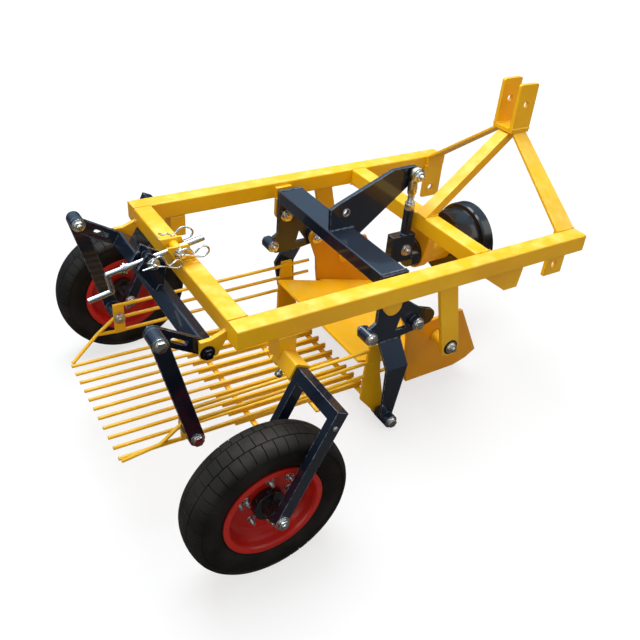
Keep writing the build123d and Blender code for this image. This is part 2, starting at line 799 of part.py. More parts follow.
def sieve_grid():
    """Rods that run fore and aft on flat cross bars, doubled in the front part."""
    half = SIEVE_SIDE_Y - SIEVE_SIDE_THICK / 2 - WELD
    with BuildPart() as grid:
        for number in range(ROD_COUNT):
            y = (number - (ROD_COUNT - 1) / 2) * ROD_PITCH
            tail = at(SIEVE_TAIL[0], y, SIEVE_TAIL[1])
            front = at(SIEVE_FRONT[0], y, SIEVE_FRONT[1])
            straight_bar(tail, front, SIEVE_ROD_R)
            low_rear = at(SIEVE_DOUBLE_X, y, sieve_height(SIEVE_DOUBLE_X) - SIEVE_DOUBLE_DROP)
            low_front = at(SIEVE_FRONT[0], y, SIEVE_FRONT[1] - SIEVE_DOUBLE_DROP)
            straight_bar(low_rear, low_front, SIEVE_ROD_R)
        for x in SIEVE_CROSS_X:
            width, thick = SIEVE_CROSS
            centre = sieve_height(x) - SIEVE_DOUBLE_DROP - SIEVE_ROD_R - thick / 2 + 1
            with BuildSketch(side(0)):
                with Locations((x, centre)):
                    Rectangle(width, thick)
            extrude(amount=half, both=True)
    return grid.part


def sieve_side(sign):
    """Side of the sieve: rear lug, guard rods and front pivot plate."""
    y = sign * SIEVE_SIDE_Y
    lug_x, lug_z = REAR_PIN
    plate_x, plate_width = SIEVE_PLATE
    low = SIEVE_DOUBLE_DROP + SIEVE_ROD_R + SIEVE_CROSS[1]
    foot_x, foot_z = HANGER_FOOT
    with BuildPart() as frame:
        with BuildSketch(side(y)):
            with BuildLine():
                Polyline(
                    (lug_x - SIEVE_LUG_WIDTH / 2, SIEVE_GUARD_Z[2] - 4),
                    (lug_x + SIEVE_LUG_WIDTH / 2, SIEVE_GUARD_Z[2] - 4),
                    (lug_x + SIEVE_LUG_WIDTH / 2, SIEVE_GUARD_Z[0] + 4),
                    (lug_x - SIEVE_LUG_WIDTH / 2, SIEVE_GUARD_Z[0] + 4),
                    close=True,
                )
            make_face()
            with Locations(REAR_PIN):
                Circle(BOLT_R + OPEN_PIVOT, mode=Mode.SUBTRACT)
            with BuildLine():
                Polyline(
                    (plate_x, SIEVE_GUARD_Z[0] + 16),
                    (plate_x + plate_width, SIEVE_GUARD_Z[0] + 16),
                    (plate_x + plate_width + 10, SIEVE_GUARD_Z[2]),
                    (foot_x + HANGER_FOOT_R, foot_z),
                    (foot_x - HANGER_FOOT_R, foot_z),
                    (plate_x - 8, sieve_height(plate_x) - low),
                    (plate_x - 8, SIEVE_GUARD_Z[2]),
                    close=True,
                )
            make_face()
            with Locations(HANGER_FOOT):
                Circle(HANGER_FOOT_R - 1)
            with Locations(HANGER_FOOT):
                Circle(BOLT_R + RUNNING, mode=Mode.SUBTRACT)
        extrude(amount=SIEVE_SIDE_THICK / 2, both=True)
        for z in SIEVE_GUARD_Z:
            lug_front = lug_x + SIEVE_LUG_WIDTH / 2 - 2
            straight_bar(at(lug_front, y, z), at(SIEVE_GUARD_FRONT_X, y, z), SIEVE_ROD_R)
        tail_y = sign * ((ROD_COUNT - 1) / 2 * ROD_PITCH + 2 * SIEVE_ROD_R + 1)
        tail = at(SIEVE_TAIL[0] + SIEVE_ROD_R, tail_y, SIEVE_TAIL[1])
        knee = at(SIEVE_KNEE[0], y, SIEVE_KNEE[1])
        lug_back = lug_x - SIEVE_LUG_WIDTH / 2 + 2
        for start in (at(lug_back, y, lug_z), at(lug_back, y, SIEVE_GUARD_Z[2]), tail):
            straight_bar(start, knee, SIEVE_ROD_R)
        with Locations(knee):
            Sphere(SIEVE_ROD_R)
    return frame.part


# Rear tilt frame
def rear_lug(sign):
    """Lug behind the frame's rear corner that holds the tilt frame."""
    pivot_x, pivot_z = TILT_PIVOT
    y = sign * TILT_LUG_Y
    with BuildPart() as lug:
        with BuildSketch(side(y)):
            with BuildLine():
                Polyline(
                    (-WELD, -30),
                    (pivot_x + 8, pivot_z + 30),
                    (pivot_x - 16, pivot_z + 30),
                    (pivot_x - 16, pivot_z - 14),
                    (pivot_x + 24, pivot_z - 14),
                    (-WELD, -TUBE),
                    close=True,
                )
            make_face()
        extrude(amount=LUG_THICK / 2, both=True)
        bolt(TILT_PIVOT, y + sign * LUG_THICK / 2, sign * (TILT_ARM_Y + TILT_ARM_THICK / 2 + WELD))
    return lug.part


def tilt_frame():
    """Cross tube with slotted arms, link pins and the screw's clevis."""
    run, rise, _ = unit(TILT_PIVOT, TILT_PIN)
    slope = degrees(atan2(rise, -run))
    slot_length, slot_width = TILT_ARM_SLOT
    with BuildPart() as frame:
        with BuildSketch(side(0)):
            with Locations(Location((*TILT_PIVOT, 0), (0, 0, -slope))):
                RectangleRounded(TILT_TUBE, TILT_TUBE, TUBE_CORNER)
        extrude(amount=TILT_ARM_Y, both=True)
        for sign in (-1, 1):
            y = sign * TILT_ARM_Y
            with BuildSketch(side(y)):
                for centre in (TILT_PIVOT, TILT_PIN):
                    with Locations(centre):
                        Circle(TILT_ARM_WIDTH / 2)
                make_hull()
                middle = (TILT_PIVOT[0] + TILT_PIN[0]) / 2, (TILT_PIVOT[1] + TILT_PIN[1]) / 2
                with Locations(Location((*middle, 0), (0, 0, -slope))):
                    SlotOverall(slot_length, slot_width, mode=Mode.SUBTRACT)
            extrude(amount=TILT_ARM_THICK / 2, both=True)
            tip = LINK_Y + LINK_THICK / 2 + 1
            rod(TILT_PIN, sign * TILT_ARM_Y, sign * tip, BOLT_R)
            bolt(TILT_PIN, sign * tip, sign * TILT_ARM_Y)
        eye = CLEVIS_EYE_X, screw_height(CLEVIS_EYE_X)
        for y in (-CLEVIS_EAR_Y, CLEVIS_EAR_Y):
            with BuildSketch(side(y)):
                with BuildLine():
                    Polyline((-104, 0), (-76, 44), (-31, 14), (-40, -56), (-66, -62), close=True)
                make_face()
            extrude(amount=CLEVIS_EAR_THICK / 2, both=True)
        rod(eye, -CLEVIS_EAR_Y, CLEVIS_EAR_Y, TRUNNION_R)
        bolt(eye, CLEVIS_EAR_Y + CLEVIS_EAR_THICK / 2, CLEVIS_EAR_Y)
        bolt(eye, -CLEVIS_EAR_Y - CLEVIS_EAR_THICK / 2, -CLEVIS_EAR_Y)
        bore = screw_point(SCREW_START), screw_point(SCREW_END)
        straight_bar(*bore, SCREW_R + WELD, mode=Mode.SUBTRACT)
    return frame.part


def screw_height(x):
    """Height of the adjusting screw's axis at x."""
    (start_x, start_z), (end_x, end_z) = SCREW_START, SCREW_END
    return start_z + (end_z - start_z) * (x - start_x) / (end_x - start_x)


def screw_point(point):
    """A point of the screw's axis, on the centre line."""
    return at(point[0], 0, point[1])


def adjusting_screw():
    """Screw with a bent crank handle at its rear end."""
    start_x, start_z = SCREW_START
    with BuildPart() as screw:
        straight_bar(screw_point(SCREW_START), screw_point(SCREW_END), SCREW_R)
        drop = screw_point((start_x + 8, start_z - CRANK_THROW))
        straight_bar(screw_point(SCREW_START), drop, SCREW_R)
        grip = screw_point((start_x + 8 - CRANK_HANDLE, start_z - CRANK_THROW - 12))
        straight_bar(drop, grip, SCREW_R)
        for corner in (SCREW_START, (start_x + 8, start_z - CRANK_THROW)):
            with Locations(screw_point(corner)):
                Sphere(SCREW_R)
    return screw.part


def screw_bracket():
    """Two ears on the rear crossbar with the trunnion that the adjusting screw turns in."""
    with BuildPart() as bracket:
        for y in (-CLEVIS_EAR_Y, CLEVIS_EAR_Y):
            with BuildSketch(side(y)):
                with BuildLine():
                    Polyline((-28, 44), (26, 44), (44, WELD), (4, WELD), (-14, 12), close=True)
                make_face()
            extrude(amount=CLEVIS_EAR_THICK / 2, both=True)
        trunnion = TRUNNION_X, screw_height(TRUNNION_X)
        rod(trunnion, -CLEVIS_EAR_Y, CLEVIS_EAR_Y, TRUNNION_R)
        for sign in (-1, 1):
            bolt(trunnion, sign * (CLEVIS_EAR_Y + CLEVIS_EAR_THICK / 2), sign * CLEVIS_EAR_Y)
        bore = screw_point(SCREW_START), screw_point(SCREW_END)
        straight_bar(*bore, SCREW_R + WELD, mode=Mode.SUBTRACT)
    return bracket.part


def rear_link(sign):
    """Flat link with a bush at each end, from the tilt frame down to the sieve."""
    y = sign * LINK_Y
    arm_outer = TILT_ARM_Y + TILT_ARM_THICK / 2 + 1
    side_outer = SIEVE_SIDE_Y + SIEVE_SIDE_THICK / 2 + 5
    with BuildPart() as link:
        with BuildSketch(side(y)):
            for centre in (TILT_PIN, REAR_PIN):
                with Locations(centre):
                    Circle(LINK_WIDTH / 2)
            make_hull()
        extrude(amount=LINK_THICK / 2, both=True)
        rod(TILT_PIN, y, sign * arm_outer, EYE_R)
        rod(REAR_PIN, y, sign * side_outer, EYE_R)
        hole(TILT_PIN, y, EYE_LENGTH, BOLT_R + RUNNING)
        outer = y + sign * LINK_THICK / 2
        bolt(REAR_PIN, outer, sign * (SIEVE_SIDE_Y - SIEVE_SIDE_THICK / 2 - 3))
    return link.part


# Wheels
def fork_plane():
    """Direction of the fork's legs, from the crosspiece down to the axle."""
    return unit(FORK_TOP, (AXLE_X, AXLE_Z))


def wheel_sleeve(sign):
    """Sleeve under the rail that the fork's crosspiece slides in."""
    run, rise, _ = fork_plane()
    turn = degrees(atan2(run, -rise))
    outer = FORK_TUBE + 2 * SLEEVE_WALL
    length = SLEEVE_OUTER_Y - SLEEVE_INNER_Y
    post_x, post_y = SLEEVE_POST
    with BuildPart() as sleeve:
        with BuildSketch(level(-TUBE - WELD)):
            with Locations((FORK_TOP[0], sign * (FRAME_WIDTH / 2 - post_y / 2))):
                Rectangle(post_x, post_y)
        extrude(amount=FORK_TOP[1] + TUBE)
        with BuildSketch(side(sign * SLEEVE_INNER_Y)):
            with Locations(Location((*FORK_TOP, 0), (0, 0, turn))):
                RectangleRounded(outer, outer, TUBE_CORNER)
        extrude(amount=-sign * length)
        with BuildSketch(side(sign * SLEEVE_INNER_Y)):
            with Locations(Location((*FORK_TOP, 0), (0, 0, turn))):
                Rectangle(FORK_TUBE + 2 * WELD, FORK_TUBE + 2 * WELD)
        extrude(amount=-sign * length, mode=Mode.SUBTRACT)
    return sleeve.part


def wheel_fork(sign):
    """Fork of square tube round the wheel, with its axle bolt."""
    run, rise, reach = fork_plane()
    turn = degrees(atan2(run, -rise))
    outer_y = FORK_OUTER_LEG_Y + FORK_LEG_THICK / 2
    middle = (FORK_TOP[0] + AXLE_X) / 2, (FORK_TOP[1] + AXLE_Z) / 2
    with BuildPart() as fork:
        with BuildSketch(side(sign * (SLEEVE_INNER_Y + 5))):
            with Locations(Location((*FORK_TOP, 0), (0, 0, turn))):
                Rectangle(FORK_TUBE, FORK_TUBE)
        extrude(amount=-sign * (outer_y - SLEEVE_INNER_Y - 5))
        for leg_y in (FORK_INNER_LEG_Y, FORK_OUTER_LEG_Y):
            with BuildSketch(side(sign * leg_y)):
                with Locations(Location((*middle, 0), (0, 0, turn))):
                    Rectangle(FORK_TUBE, reach)
                with Locations((AXLE_X, AXLE_Z)):
                    Circle(FORK_TUBE / 2)
            extrude(amount=FORK_LEG_THICK / 2, both=True)
        axle = AXLE_X, AXLE_Z
        rod(axle, sign * outer_y, sign * FORK_INNER_LEG_Y, AXLE_R)
        bolt(axle, sign * outer_y, sign * WHEEL_Y)
    return fork.part


def wheel_axis():
    return Axis(at(AXLE_X, 0, AXLE_Z), MACHINE.y_dir)


def wheel_section(sign):
    """Sketch plane through a wheel's axis: sketches are (along y from the wheel's middle, radius)."""
    return Plane(
        origin=at(AXLE_X, sign * WHEEL_Y, AXLE_Z), x_dir=MACHINE.y_dir, z_dir=MACHINE.x_dir
    )


def tyre(sign):
    """Tyre on its rim: bead, bulging side wall and a slightly crowned tread."""
    half = TYRE_WIDTH / 2
    bead_y = RIM_HALF_WIDTH - RIM_SHEET - BEAD_GAP
    bead_r, flange_r = RIM_SEAT_R + BEAD_GAP, RIM_FLANGE_R + 2
    widest_r = (RIM_FLANGE_R + TYRE_R) / 2
    shoulder, tread_edge = (half * 0.9, TYRE_R - 14), (half * 0.72, TYRE_R - 4)
    with BuildPart() as ring:
        with BuildSketch(wheel_section(sign)):
            with BuildLine():
                Line((-bead_y, bead_r), (bead_y, bead_r))
                Line((bead_y, bead_r), (bead_y, flange_r))
                Spline((bead_y, flange_r), (half, widest_r), shoulder)
                Line(shoulder, tread_edge)
                ThreePointArc(tread_edge, (0, TYRE_R), (-tread_edge[0], tread_edge[1]))
                Line((-tread_edge[0], tread_edge[1]), (-shoulder[0], shoulder[1]))
                Spline((-shoulder[0], shoulder[1]), (-half, widest_r), (-bead_y, flange_r))
                Line((-bead_y, flange_r), (-bead_y, bead_r))
            make_face()
        revolve(axis=wheel_axis())
    return ring.part


def rim(sign):
    """Pressed rim: flanges, bead seat and a flat disc in the middle."""
    edge, sheet = RIM_HALF_WIDTH, RIM_SHEET
    seat, flange = RIM_SEAT_R, RIM_FLANGE_R
    profile = (
        (0, seat),
        (edge - sheet, seat),
        (edge - sheet, flange),
        (edge, flange),
        (edge, seat - sheet / 2),
        (edge - sheet, seat - sheet),
        (26, seat - sheet - 3),
        (RIM_DISC[0] + 6, seat - sheet - 9),
        (RIM_DISC[0], RIM_DISC[1]),
        (RIM_DISC[0], HUB_R + WELD),
    )
    with BuildPart() as ring:
        with BuildSketch(wheel_section(sign)):
            with BuildLine():
                Polyline(*profile, *((-y, r) for y, r in reversed(profile[1:])), close=True)
            make_face()
        revolve(axis=wheel_axis())
    return ring.part


def hub(sign):
    """Hub drum with a longer boss that runs on the axle between the fork's legs."""
    inner = sign * (FORK_INNER_LEG_Y + FORK_LEG_THICK / 2 + 0.5 - WHEEL_Y)
    outer = sign * (FORK_OUTER_LEG_Y - FORK_LEG_THICK / 2 - 0.5 - WHEEL_Y)
    drum_end = sign * HUB_HALF_LENGTH
    with BuildPart() as drum:
        with BuildSketch(wheel_section(sign)):
            with BuildLine():
                Polyline(
                    (inner, AXLE_R + RUNNING),
                    (inner, HUB_BOSS_R),
                    (-drum_end, HUB_BOSS_R + 4),
                    (-drum_end, HUB_R),
                    (drum_end, HUB_R),
                    (drum_end, HUB_BOSS_R + 4),
                    (outer, HUB_BOSS_R),
                    (outer, AXLE_R + RUNNING),
                    close=True,
                )
            make_face()
        revolve(axis=wheel_axis())
    return drum.part


save(crossbar(0), "rear_crossbar")
save(crossbar(FRONT_BAR_X), "front_crossbar")
save(top_link_clevis(), "top_link_clevis")
save(centre_brace(), "centre_brace")
save(rocker_tube(), "rocker_tube")
save(rocker_lever(), "rocker_lever")
save(share_blade(), "share_blade")
save(bearing_mount(), "bearing_mount")
save(input_shaft(), "input_shaft")
save(shaft_guard(), "shaft_guard")
save(pitman(), "pitman")
save(rod_end(), "rod_end")
save(sieve_grid(), "sieve_grid")
save(tilt_frame(), "tilt_frame")
save(adjusting_screw(), "adjusting_screw")
save(screw_bracket(), "screw_bracket")

PAIRED_PIECES = (
    side_rail,
    hitch_stay,
    lower_link_plate,
    rail_gusset,
    rocker_lug,
    rocker_plate,
    hanger_arm,
    share_leg,
    share_side,
    sieve_side,
    rear_lug,
    rear_link,
    wheel_sleeve,
    wheel_fork,
    tyre,
    rim,
    hub,
)
for make_piece in PAIRED_PIECES:
    for hand, sign in HANDS:
        save(make_piece(sign), f"{make_piece.__name__}_{hand}")
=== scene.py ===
# %% [markdown]
# A small potato digger that hangs behind a tractor.
# The frame, wheels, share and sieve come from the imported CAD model, which stays as it is.
# This lesson dresses that model: first the light and the paint, then the small things that make
# a machine look real, such as tyre tread, nuts and bolts, threads, spring clips and weld beads.

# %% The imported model
import json
import math
import random

import bmesh
import bpy
from mathutils import Matrix, Vector


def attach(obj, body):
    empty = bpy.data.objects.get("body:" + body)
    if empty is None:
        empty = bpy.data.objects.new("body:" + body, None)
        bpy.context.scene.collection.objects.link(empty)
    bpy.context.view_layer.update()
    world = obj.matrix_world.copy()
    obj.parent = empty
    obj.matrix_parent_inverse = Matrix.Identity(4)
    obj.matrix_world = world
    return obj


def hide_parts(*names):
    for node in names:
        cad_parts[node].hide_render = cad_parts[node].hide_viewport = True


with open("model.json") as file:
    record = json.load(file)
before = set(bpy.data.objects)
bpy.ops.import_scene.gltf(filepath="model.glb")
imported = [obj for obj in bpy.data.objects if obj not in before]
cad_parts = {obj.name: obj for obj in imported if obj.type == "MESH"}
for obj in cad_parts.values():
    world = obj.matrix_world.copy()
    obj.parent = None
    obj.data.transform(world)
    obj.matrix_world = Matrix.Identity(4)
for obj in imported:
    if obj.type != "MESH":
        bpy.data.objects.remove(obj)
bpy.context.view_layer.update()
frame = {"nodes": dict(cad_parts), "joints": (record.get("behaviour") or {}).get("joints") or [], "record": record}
nodes = frame["nodes"]
joints = {joint["name"]: joint for joint in frame["joints"]}

# %% [markdown]
# The digger parks nose-down on its wheels, so its own axes lean a few degrees in the world.
# Sizes are easier to read along the machine than along the floor, so every new piece is placed
# in the machine's own axes: x forward from the frame's rear face, y left from the middle and z
# up from the frame's top, in metres. The lean and the place are read back from the joints.

# %% The machine's own axes
SIDES = (("right", -1), ("left", 1))
SIGNS = (-1, 1)
WHEEL_X, WHEEL_Y, WHEEL_Z = 0.002, 0.490, -0.367
shaft_axis = Vector(joints["shaft_spin"]["axis"])
lean = math.atan2(-shaft_axis.z, shaft_axis.x)
axle_place = Vector(joints["wheel_spin_right"]["pos_m"])
right_wheel = Vector((WHEEL_X, -WHEEL_Y, WHEEL_Z))
MACHINE = Matrix.Translation(axle_place) @ Matrix.Rotation(lean, 4, "Y") @ Matrix.Translation(-right_wheel)


def facing(point, direction):
    """A matrix that sets local +Z along a direction, at a point of the machine's axes."""
    aim = Vector(direction).to_track_quat("Z", "Y").to_matrix().to_4x4()
    return Matrix.Translation(Vector(point)) @ aim


print("lean in degrees:", round(math.degrees(lean), 2))

# %% [markdown]
# The camera stands where the photographer stood: above the right rear corner, looking down and
# forward. Its direction was solved from the frame's straight edges, and it is written as the
# directions of the picture's right and upper sides, which also holds the slight tilt.

# %% Camera
CAMERA_PLACE = Vector((-0.86306, -1.45050, 1.51608))
PICTURE_RIGHT = Vector((0.85408, -0.51956, -0.02462))
PICTURE_UP = Vector((0.33739, 0.51734, 0.78647))
SENSOR_WIDTH, LENS = 36.0, 40.39
camera_data = bpy.data.cameras.new("camera")
camera_data.sensor_width = SENSOR_WIDTH
camera_data.lens = LENS
camera = bpy.data.objects.new("camera", camera_data)
bpy.context.scene.collection.objects.link(camera)
picture_back = PICTURE_RIGHT.cross(PICTURE_UP).normalized()
turned = Matrix((PICTURE_RIGHT, PICTURE_UP, picture_back)).transposed().to_4x4()
camera.matrix_world = Matrix.Translation(CAMERA_PLACE) @ turned
bpy.context.scene.camera = camera
bpy.context.scene.view_settings.view_transform = "Standard"
print("camera height:", CAMERA_PLACE.z)

# %% [markdown]
# Product photographs of machines are lit by one very wide soft lamp overhead, so the tops of the
# tubes shine and the sides that face the camera stay deeper. Two weak warm lamps, behind and in
# front on the camera's side, keep the black parts readable.

# %% Lamps
LIT_POINT = (0.0, 0.0, 0.3)


def lamp(name, place, size, power, tint):
    """A square area lamp that looks at the middle of the machine."""
    data = bpy.data.lights.new(name, "AREA")
    data.size = size
    data.energy = power
    data.color = tint
    obj = bpy.data.objects.new(name, data)
    aim = (Vector(LIT_POINT) - Vector(place)).to_track_quat("-Z", "Y")
    obj.matrix_world = Matrix.Translation(Vector(place)) @ aim.to_matrix().to_4x4()
    bpy.context.scene.collection.objects.link(obj)


lamp("overhead", (0.2, 0.6, 3.2), 2.6, 150.0, (0.90, 0.95, 1.0))
lamp("rear_side", (-2.6, -1.6, 1.6), 1.6, 16.0, (1.0, 0.90, 0.78))
lamp("front_side", (2.4, -1.6, 1.9), 1.8, 18.0, (1.0, 0.93, 0.84))
print("lamps:", len(bpy.data.lights))

# %% [markdown]
# The world gives even light from all around, and the camera sees it as plain white. Glossy paint
# shows what stands around it, so for reflections the world is a blue sky that darkens to the
# horizon. That keeps black sides black and gives black tops their blue shine. The choice is made
# by the kind of ray, with a mix of shaders for each kind.

# %% World
world = bpy.data.worlds.new("studio")
bpy.context.scene.world = world
world.use_nodes = True
sky = world.node_tree
sky.nodes.clear()


def map_range(tree, value, low, high, to_low=0.0, to_high=1.0, smooth=False):
    """Maps low to high onto another pair of values, and holds the ends beyond them."""
    node = tree.nodes.new("ShaderNodeMapRange")
    node.interpolation_type = "SMOOTHSTEP" if smooth else "LINEAR"
    for socket, number in (("From Min", low), ("From Max", high), ("To Min", to_low), ("To Max", to_high)):
        node.inputs[socket].default_value = number
    tree.links.new(value, node.inputs["Value"])
    return node.outputs["Result"]


def choose_by_ray(tree, ray, others, shown):
    """One shader for a kind of ray, and another for all other rays."""
    path = tree.nodes.new("ShaderNodeLightPath")
    choice = tree.nodes.new("ShaderNodeMixShader")
    tree.links.new(path.outputs[ray], choice.inputs["Fac"])
    tree.links.new(others, choice.inputs[1])
    tree.links.new(shown, choice.inputs[2])
    return choice.outputs[0]


def surroundings(tint, strength=1.0):
    """One colour all around."""
    node = sky.nodes.new("ShaderNodeBackground")
    node.inputs["Color"].default_value = (*tint, 1.0)
    node.inputs["Strength"].default_value = strength
    return node


even_light = surroundings((1.0, 0.98, 0.95), 0.40)
blue_sky = surroundings((0.52, 0.74, 1.0))
white = surroundings((1.0, 1.0, 1.0))
sky_direction = sky.nodes.new("ShaderNodeTexCoord")
sky_height = sky.nodes.new("ShaderNodeSeparateXYZ")
sky.links.new(sky_direction.outputs["Generated"], sky_height.inputs[0])
sky_glow = map_range(sky, sky_height.outputs["Z"], 0.05, 0.80, 0.14, 1.35)
sky.links.new(sky_glow, blue_sky.inputs["Strength"])
lit_sky = choose_by_ray(sky, "Is Glossy Ray", even_light.outputs[0], blue_sky.outputs[0])
seen_sky = choose_by_ray(sky, "Is Camera Ray", lit_sky, white.outputs[0])
sky_out = sky.nodes.new("ShaderNodeOutputWorld")
sky.links.new(seen_sky, sky_out.inputs["Surface"])
print("world nodes:", len(sky.nodes))

# %% [markdown]
# The floor is plain and pale. Rays from the camera see it as white, apart from the shadow: it
# glows a little more far away, where the lamps reach it less. It never gets brighter than white,
# because an edge in front of something brighter than white loses its smoothing. Other rays meet
# warm matt paper, and reflections a dark one, so that it doesn't whiten the glossy sides.

# %% Floor
FLOOR_SIZE = 30.0
floor_bm = bmesh.new()
bmesh.ops.create_grid(floor_bm, x_segments=1, y_segments=1, size=FLOOR_SIZE)
floor_mesh = bpy.data.meshes.new("floor")
floor_bm.to_mesh(floor_mesh)
floor_bm.free()
floor = bpy.data.objects.new("floor", floor_mesh)
bpy.context.scene.collection.objects.link(floor)
floor_material = bpy.data.materials.new("studio_floor")
floor_material.use_nodes = True
floor.data.materials.append(floor_material)
floor_tree = floor_material.node_tree


def matt_paper(shade):
    """A matt grey."""
    node = floor_tree.nodes.new("ShaderNodeBsdfDiffuse")
    node.inputs["Color"].default_value = (shade, shade, shade, 1.0)
    return node.outputs[0]


floor_bounce = floor_tree.nodes["Principled BSDF"]
floor_bounce.inputs["Base Color"].default_value = (0.50, 0.48, 0.45, 1.0)
floor_bounce.inputs["Roughness"].default_value = 0.9
floor_bounce.inputs["Specular IOR Level"].default_value = 0.0
floor_coords = floor_tree.nodes.new("ShaderNodeTexCoord")
floor_reach = floor_tree.nodes.new("ShaderNodeVectorMath")
floor_reach.operation = "LENGTH"
floor_tree.links.new(floor_coords.outputs["Object"], floor_reach.inputs[0])
floor_rise = map_range(floor_tree, floor_reach.outputs["Value"], 0.6, 4.5, 0.70, 0.93, smooth=True)
floor_glow = floor_tree.nodes.new("ShaderNodeEmission")
floor_tree.links.new(floor_rise, floor_glow.inputs["Strength"])
floor_seen = floor_tree.nodes.new("ShaderNodeAddShader")
floor_tree.links.new(matt_paper(0.25), floor_seen.inputs[0])
floor_tree.links.new(floor_glow.outputs[0], floor_seen.inputs[1])
floor_lit = choose_by_ray(floor_tree, "Is Glossy Ray", floor_bounce.outputs[0], matt_paper(0.10))
floor_shader = choose_by_ray(floor_tree, "Is Camera Ray", floor_lit, floor_seen.outputs[0])
floor_tree.links.new(floor_shader, floor_tree.nodes["Material Output"].inputs["Surface"])
print("floor nodes:", len(floor_tree.nodes))

# %% [markdown]
# Paint on real steel has four things that a flat colour lacks: soft rounded edges that catch a
# line of light, a faint orange-peel ripple, a colour that drifts a little, and small worn spots
# where edges rub. On the blue-black those edge spots are pale and strong, a painted highlight
# rather than wear. More than one finish uses them, so each effect is a node group. These helpers
# make a group with named sockets, and the few nodes that all of them are built from.

# %% Node helpers
FLOAT, VECTOR = "NodeSocketFloat", "NodeSocketVector"


def new_group(name, inputs, outputs):
    """A node group with number inputs and their values, and its two ends."""
    group = bpy.data.node_groups.new(name, "ShaderNodeTree")
    for socket_name, value in inputs.items():
        socket = group.interface.new_socket(socket_name, in_out="INPUT", socket_type=FLOAT)
        socket.default_value = value
    for socket_name, kind in outputs.items():
        group.interface.new_socket(socket_name, in_out="OUTPUT", socket_type=kind)
    return group, group.nodes.new("NodeGroupInput"), group.nodes.new("NodeGroupOutput")


def feed(tree, socket, value):
    """Links a socket to another one, or sets it to a colour or a number."""
    if isinstance(value, bpy.types.NodeSocket):
        tree.links.new(value, socket)
    elif isinstance(value, tuple):
        socket.default_value = (*value, 1.0)
    else:
        socket.default_value = value


def math_node(tree, operation, a, b, clamp=False):
    """One step of arithmetic on two sockets or numbers."""
    node = tree.nodes.new("ShaderNodeMath")
    node.operation = operation
    node.use_clamp = clamp
    feed(tree, node.inputs[0], a)
    feed(tree, node.inputs[1], b)
    return node.outputs[0]


def noise_node(tree, scale, detail):
    """Noise on the piece's own coordinates."""
    coords = tree.nodes.new("ShaderNodeTexCoord")
    node = tree.nodes.new("ShaderNodeTexNoise")
    tree.links.new(coords.outputs["Object"], node.inputs["Vector"])
    feed(tree, node.inputs["Scale"], scale)
    node.inputs["Detail"].default_value = detail
    return node.outputs["Fac"]


print("socket kinds:", FLOAT, VECTOR)

# %% [markdown]
# The edges of rolled tube and cut plate are never quite sharp. A real bevel on every CAD piece
# would change its mesh, so this group rounds the edges for light only, which costs no geometry.
# Where the rounded normal leaves the true one there is an edge, and that gives the mask for wear
# and for the painted edge highlight of the blue-black.

# %% Soft edges
edges_group, edges_in, edges_out = new_group(
    "soft_edges", {"Radius": 0.0015}, {"Normal": VECTOR, "Edge": FLOAT}
)
edge_bevel = edges_group.nodes.new("ShaderNodeBevel")
edge_bevel.samples = 6
edges_group.links.new(edges_in.outputs["Radius"], edge_bevel.inputs["Radius"])
edge_geometry = edges_group.nodes.new("ShaderNodeNewGeometry")
edge_dot = edges_group.nodes.new("ShaderNodeVectorMath")
edge_dot.operation = "DOT_PRODUCT"
edges_group.links.new(edge_bevel.outputs[0], edge_dot.inputs[0])
edges_group.links.new(edge_geometry.outputs["Normal"], edge_dot.inputs[1])
edge_mask = math_node(edges_group, "SUBTRACT", 1.0, edge_dot.outputs["Value"], clamp=True)
edges_group.links.new(map_range(edges_group, edge_mask, 0.02, 0.22), edges_out.inputs["Edge"])
edges_group.links.new(edge_bevel.outputs[0], edges_out.inputs["Normal"])
print("group:", edges_group.name)

# %% [markdown]
# No sprayed or plated surface has one colour. Three noises of different sizes are enough for all
# finishes: a wide one for the drift of the colour, a fine one for spots, and a very fine one for
# the ripple, each with its scale as an input.

# %% Drift and ripple
drift_group, drift_in, drift_out = new_group(
    "drift_and_ripple",
    {"Drift Scale": 6.0, "Ripple Scale": 700.0, "Spot Scale": 90.0},
    {"Drift": FLOAT, "Ripple": FLOAT, "Spots": FLOAT},
)
for scale_name, mask_name in (("Drift Scale", "Drift"), ("Ripple Scale", "Ripple"), ("Spot Scale", "Spots")):
    mask = noise_node(drift_group, drift_in.outputs[scale_name], 4.0)
    drift_group.links.new(mask, drift_out.inputs[mask_name])
print("group:", drift_group.name)

# %% [markdown]
# Dust settles on what faces up, and on the yellows the same mask paints the tops paler, as painted
# light from the overhead lamp. The mask is how far a face looks up, broken by a noise, times an
# amount that each paint sets.

# %% Settled dust and painted top light
dust_and_top_light_group, dust_and_top_light_in, dust_and_top_light_out = new_group("dust_and_top_light", {"Amount": 0.2}, {"Dust And Top Light": FLOAT})
facing_geometry = dust_and_top_light_group.nodes.new("ShaderNodeNewGeometry")
facing_split = dust_and_top_light_group.nodes.new("ShaderNodeSeparateXYZ")
dust_and_top_light_group.links.new(facing_geometry.outputs["Normal"], facing_split.inputs[0])
facing_up = map_range(dust_and_top_light_group, facing_split.outputs["Z"], 0.2, 1.0)
patchy = map_range(dust_and_top_light_group, noise_node(dust_and_top_light_group, 24.0, 6.0), 0.42, 0.75)
dust_and_top_light_mask = math_node(dust_and_top_light_group, "MULTIPLY", facing_up, patchy)
dust_and_top_light_mask = math_node(dust_and_top_light_group, "MULTIPLY", dust_and_top_light_mask, dust_and_top_light_in.outputs["Amount"])
dust_and_top_light_group.links.new(dust_and_top_light_mask, dust_and_top_light_out.inputs["Dust And Top Light"])
print("group:", dust_and_top_light_group.name)

# %% [markdown]
# Each finish is one material. Paint differs only in its colours and in how much dust, wear and
# painted light it has, so one function makes the yellows, the blue-black, the red and the blacks
# from the groups.
# The numbers that hold for the whole surface, such as the clear coat, sit on the shader itself.

# %% Paint
OLD_DUST = (0.42, 0.36, 0.29)
